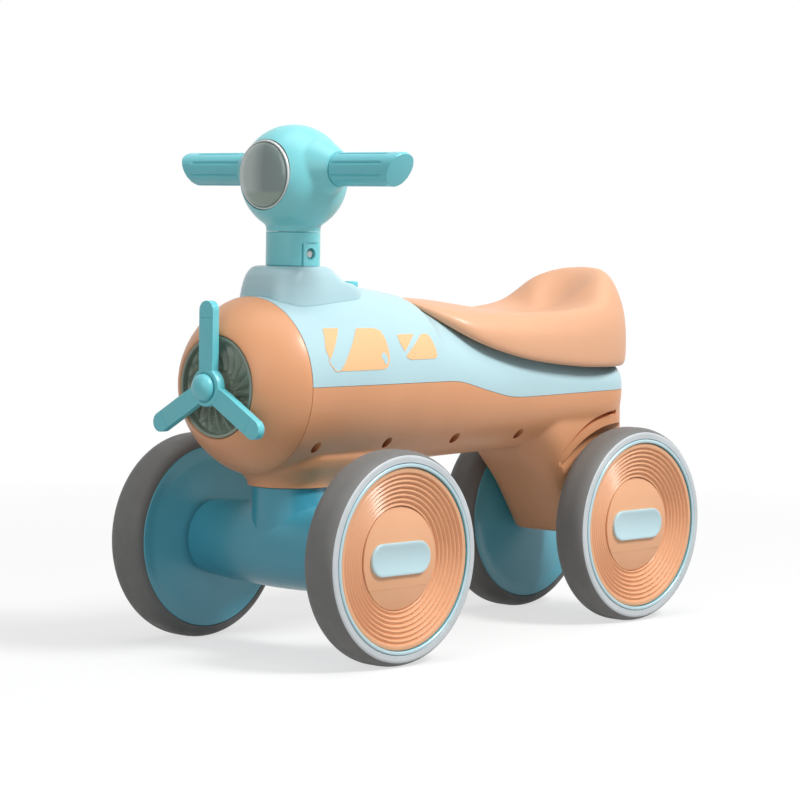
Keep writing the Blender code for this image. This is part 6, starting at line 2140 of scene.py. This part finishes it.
@dataclass
class Studio:
    """Pale floor, soft lamps and the camera."""

    camera_place: Point = (1.47218, -1.47647, 0.30871)
    azimuth: float = 42.828
    elevation: float = 3.534
    roll: float = 0.880
    focal_pixels: float = 2937.36
    image_pixels: float = 800.0
    sensor: float = 36.0
    floor_grey: float = 0.42
    floor_pale: float = 0.92
    glow_start: float = 0.35
    glow_end: float = 1.3
    glow_least: float = 0.66
    sky_colour: Point = (0.93, 0.97, 1.0)
    sky_strength: float = 0.19
    lamp_aim: Point = (0.0, 0.0, 0.18)
    lamps: tuple[tuple[str, Point, float, float], ...] = (
        ("key_lamp", (1.8, 0.45, 2.3), 0.8, 70.0),
        ("top_lamp", (0.1, 0.0, 2.6), 1.8, 19.0),
        ("fill_lamp", (0.9, -2.6, 1.3), 2.0, 15.5),
    )

    def build_camera(self) -> None:
        """Put the camera where the photograph's perspective places it."""
        azimuth, elevation = math.radians(self.azimuth), math.radians(self.elevation)
        roll = math.radians(self.roll)
        forward = Vector(
            (
                -math.sin(azimuth) * math.cos(elevation),
                math.cos(azimuth) * math.cos(elevation),
                -math.sin(elevation),
            )
        )
        right = Vector((math.cos(azimuth), math.sin(azimuth), 0.0))
        up = right.cross(forward)
        level_right = right * math.cos(roll) + up * math.sin(roll)
        level_up = up * math.cos(roll) - right * math.sin(roll)
        matrix = Matrix((level_right, level_up, -forward)).transposed().to_4x4()
        matrix.translation = Vector(self.camera_place) + Vector((0.0, FRONT_AXLE_Y, 0.0))
        data = bpy.data.cameras.new("studio_camera")
        data.sensor_width = self.sensor
        data.lens = self.focal_pixels * self.sensor / self.image_pixels
        data.clip_end = 50.0
        camera = bpy.data.objects.new("studio_camera", data)
        bpy.context.scene.collection.objects.link(camera)
        camera.matrix_world = matrix
        bpy.context.scene.camera = camera

    def add_lamp(self, name: str, place: Point, size: float, watts: float) -> None:
        """Hang one soft square lamp that faces the object.

        Args:
            name: Name of the lamp.
            place: Where it hangs.
            size: Length of its sides.
            watts: Its power.
        """
        bpy.ops.object.light_add(type="AREA", location=place)
        lamp = bpy.context.active_object
        lamp.name = name
        lamp.data.shape = "SQUARE"
        lamp.data.size = size
        lamp.data.energy = watts
        aim = Vector(self.lamp_aim) - Vector(place)
        lamp.rotation_euler = aim.to_track_quat("-Z", "Y").to_euler()

    def visible_rays(self, tree: bpy.types.NodeTree) -> bpy.types.NodeSocket:
        """Tell the rays that show the background from those that only light the object.

        Args:
            tree: The node tree that needs to know.

        Returns:
            1 for camera, glossy and transmission rays, and 0 for the rest.
        """
        path = tree.nodes.new("ShaderNodeLightPath")
        total = path.outputs["Is Camera Ray"]
        for kind in ("Is Glossy Ray", "Is Transmission Ray"):
            largest = tree.nodes.new("ShaderNodeMath")
            largest.operation = "MAXIMUM"
            tree.links.new(total, largest.inputs[0])
            tree.links.new(path.outputs[kind], largest.inputs[1])
            total = largest.outputs["Value"]
        return total

    def build_floor(self) -> None:
        """Lay a wide pale floor that turns to plain white away from the object."""
        bpy.ops.mesh.primitive_plane_add(size=24.0, location=(0.0, 0.0, 0.0))
        floor = bpy.context.active_object
        floor.name = "studio_floor"
        material = bpy.data.materials.new("pale_floor")
        material.use_nodes = True
        tree = material.node_tree
        shader = tree.nodes["Principled BSDF"]
        grey, white = self.floor_grey, self.floor_pale
        shader.inputs["Base Color"].default_value = (grey, grey, grey, 1.0)
        shader.inputs["Roughness"].default_value = 0.8
        pale = tree.nodes.new("ShaderNodeBsdfDiffuse")
        pale.inputs["Color"].default_value = (white, white, white, 1.0)
        glow = tree.nodes.new("ShaderNodeEmission")
        glow.inputs["Color"].default_value = (1.0, 1.0, 1.0, 1.0)
        glow.inputs["Strength"].default_value = 1.0
        seen = tree.nodes.new("ShaderNodeMixShader")
        place = tree.nodes.new("ShaderNodeTexCoord")
        length = tree.nodes.new("ShaderNodeVectorMath")
        length.operation = "LENGTH"
        fade = tree.nodes.new("ShaderNodeMapRange")
        fade.inputs["From Min"].default_value = self.glow_start
        fade.inputs["From Max"].default_value = self.glow_end
        fade.inputs["To Min"].default_value = self.glow_least
        fade.inputs["To Max"].default_value = 1.0
        tree.links.new(place.outputs["Object"], length.inputs[0])
        tree.links.new(length.outputs["Value"], fade.inputs["Value"])
        tree.links.new(fade.outputs["Result"], seen.inputs["Fac"])
        mix = tree.nodes.new("ShaderNodeMixShader")
        tree.links.new(pale.outputs["BSDF"], seen.inputs[1])
        tree.links.new(glow.outputs["Emission"], seen.inputs[2])
        tree.links.new(self.visible_rays(tree), mix.inputs["Fac"])
        tree.links.new(shader.outputs["BSDF"], mix.inputs[1])
        tree.links.new(seen.outputs["Shader"], mix.inputs[2])
        tree.links.new(mix.outputs["Shader"], tree.nodes["Material Output"].inputs["Surface"])
        floor.data.materials.append(material)

    def build_world(self) -> None:
        """Light the scene softly from all round, before a white background."""
        world = bpy.data.worlds.new("studio_world")
        bpy.context.scene.world = world
        world.use_nodes = True
        tree = world.node_tree
        soft = tree.nodes["Background"]
        soft.inputs["Color"].default_value = (*self.sky_colour, 1.0)
        soft.inputs["Strength"].default_value = self.sky_strength
        white = tree.nodes.new("ShaderNodeBackground")
        white.inputs["Color"].default_value = (1.0, 1.0, 1.0, 1.0)
        white.inputs["Strength"].default_value = 1.0
        mix = tree.nodes.new("ShaderNodeMixShader")
        tree.links.new(self.visible_rays(tree), mix.inputs["Fac"])
        tree.links.new(soft.outputs["Background"], mix.inputs[1])
        tree.links.new(white.outputs["Background"], mix.inputs[2])
        tree.links.new(mix.outputs["Shader"], tree.nodes["World Output"].inputs["Surface"])

    def build(self) -> None:
        """Set up the whole studio."""
        self.build_camera()
        self.build_floor()
        self.build_world()
        for name, place, size, watts in self.lamps:
            self.add_lamp(name, place, size, watts)
        bpy.context.scene.view_settings.view_transform = "Standard"


def main() -> None:
    """Load the frame and dress the scooter piece by piece."""
    logging.basicConfig(level=logging.INFO, format="%(message)s")
    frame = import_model()
    HiddenParts().build(frame)
    fuselage = Fuselage()
    fuselage.build()
    SideWindows().build()
    Nose().build()
    Propeller().build()
    NeckHousing().build(fuselage)
    MusicButton().build()
    Saddle().build(fuselage)
    SteeringHead().build()
    FrontAxleHousing().build()
    wheel = Wheel()
    masters = wheel.masters()
    wheel.build("front_left", FRONT_WHEEL_X, FRONT_AXLE_Y, masters)
    wheel.build("front_right", -FRONT_WHEEL_X, FRONT_AXLE_Y, masters)
    wheel.build("rear_left", REAR_WHEEL_X, REAR_AXLE_Y, masters)
    wheel.build("rear_right", -REAR_WHEEL_X, REAR_AXLE_Y, masters)
    for master, _, _ in masters:
        bpy.data.objects.remove(master, do_unlink=True)
    Studio().build()


if __name__ == "__main__":
    main()
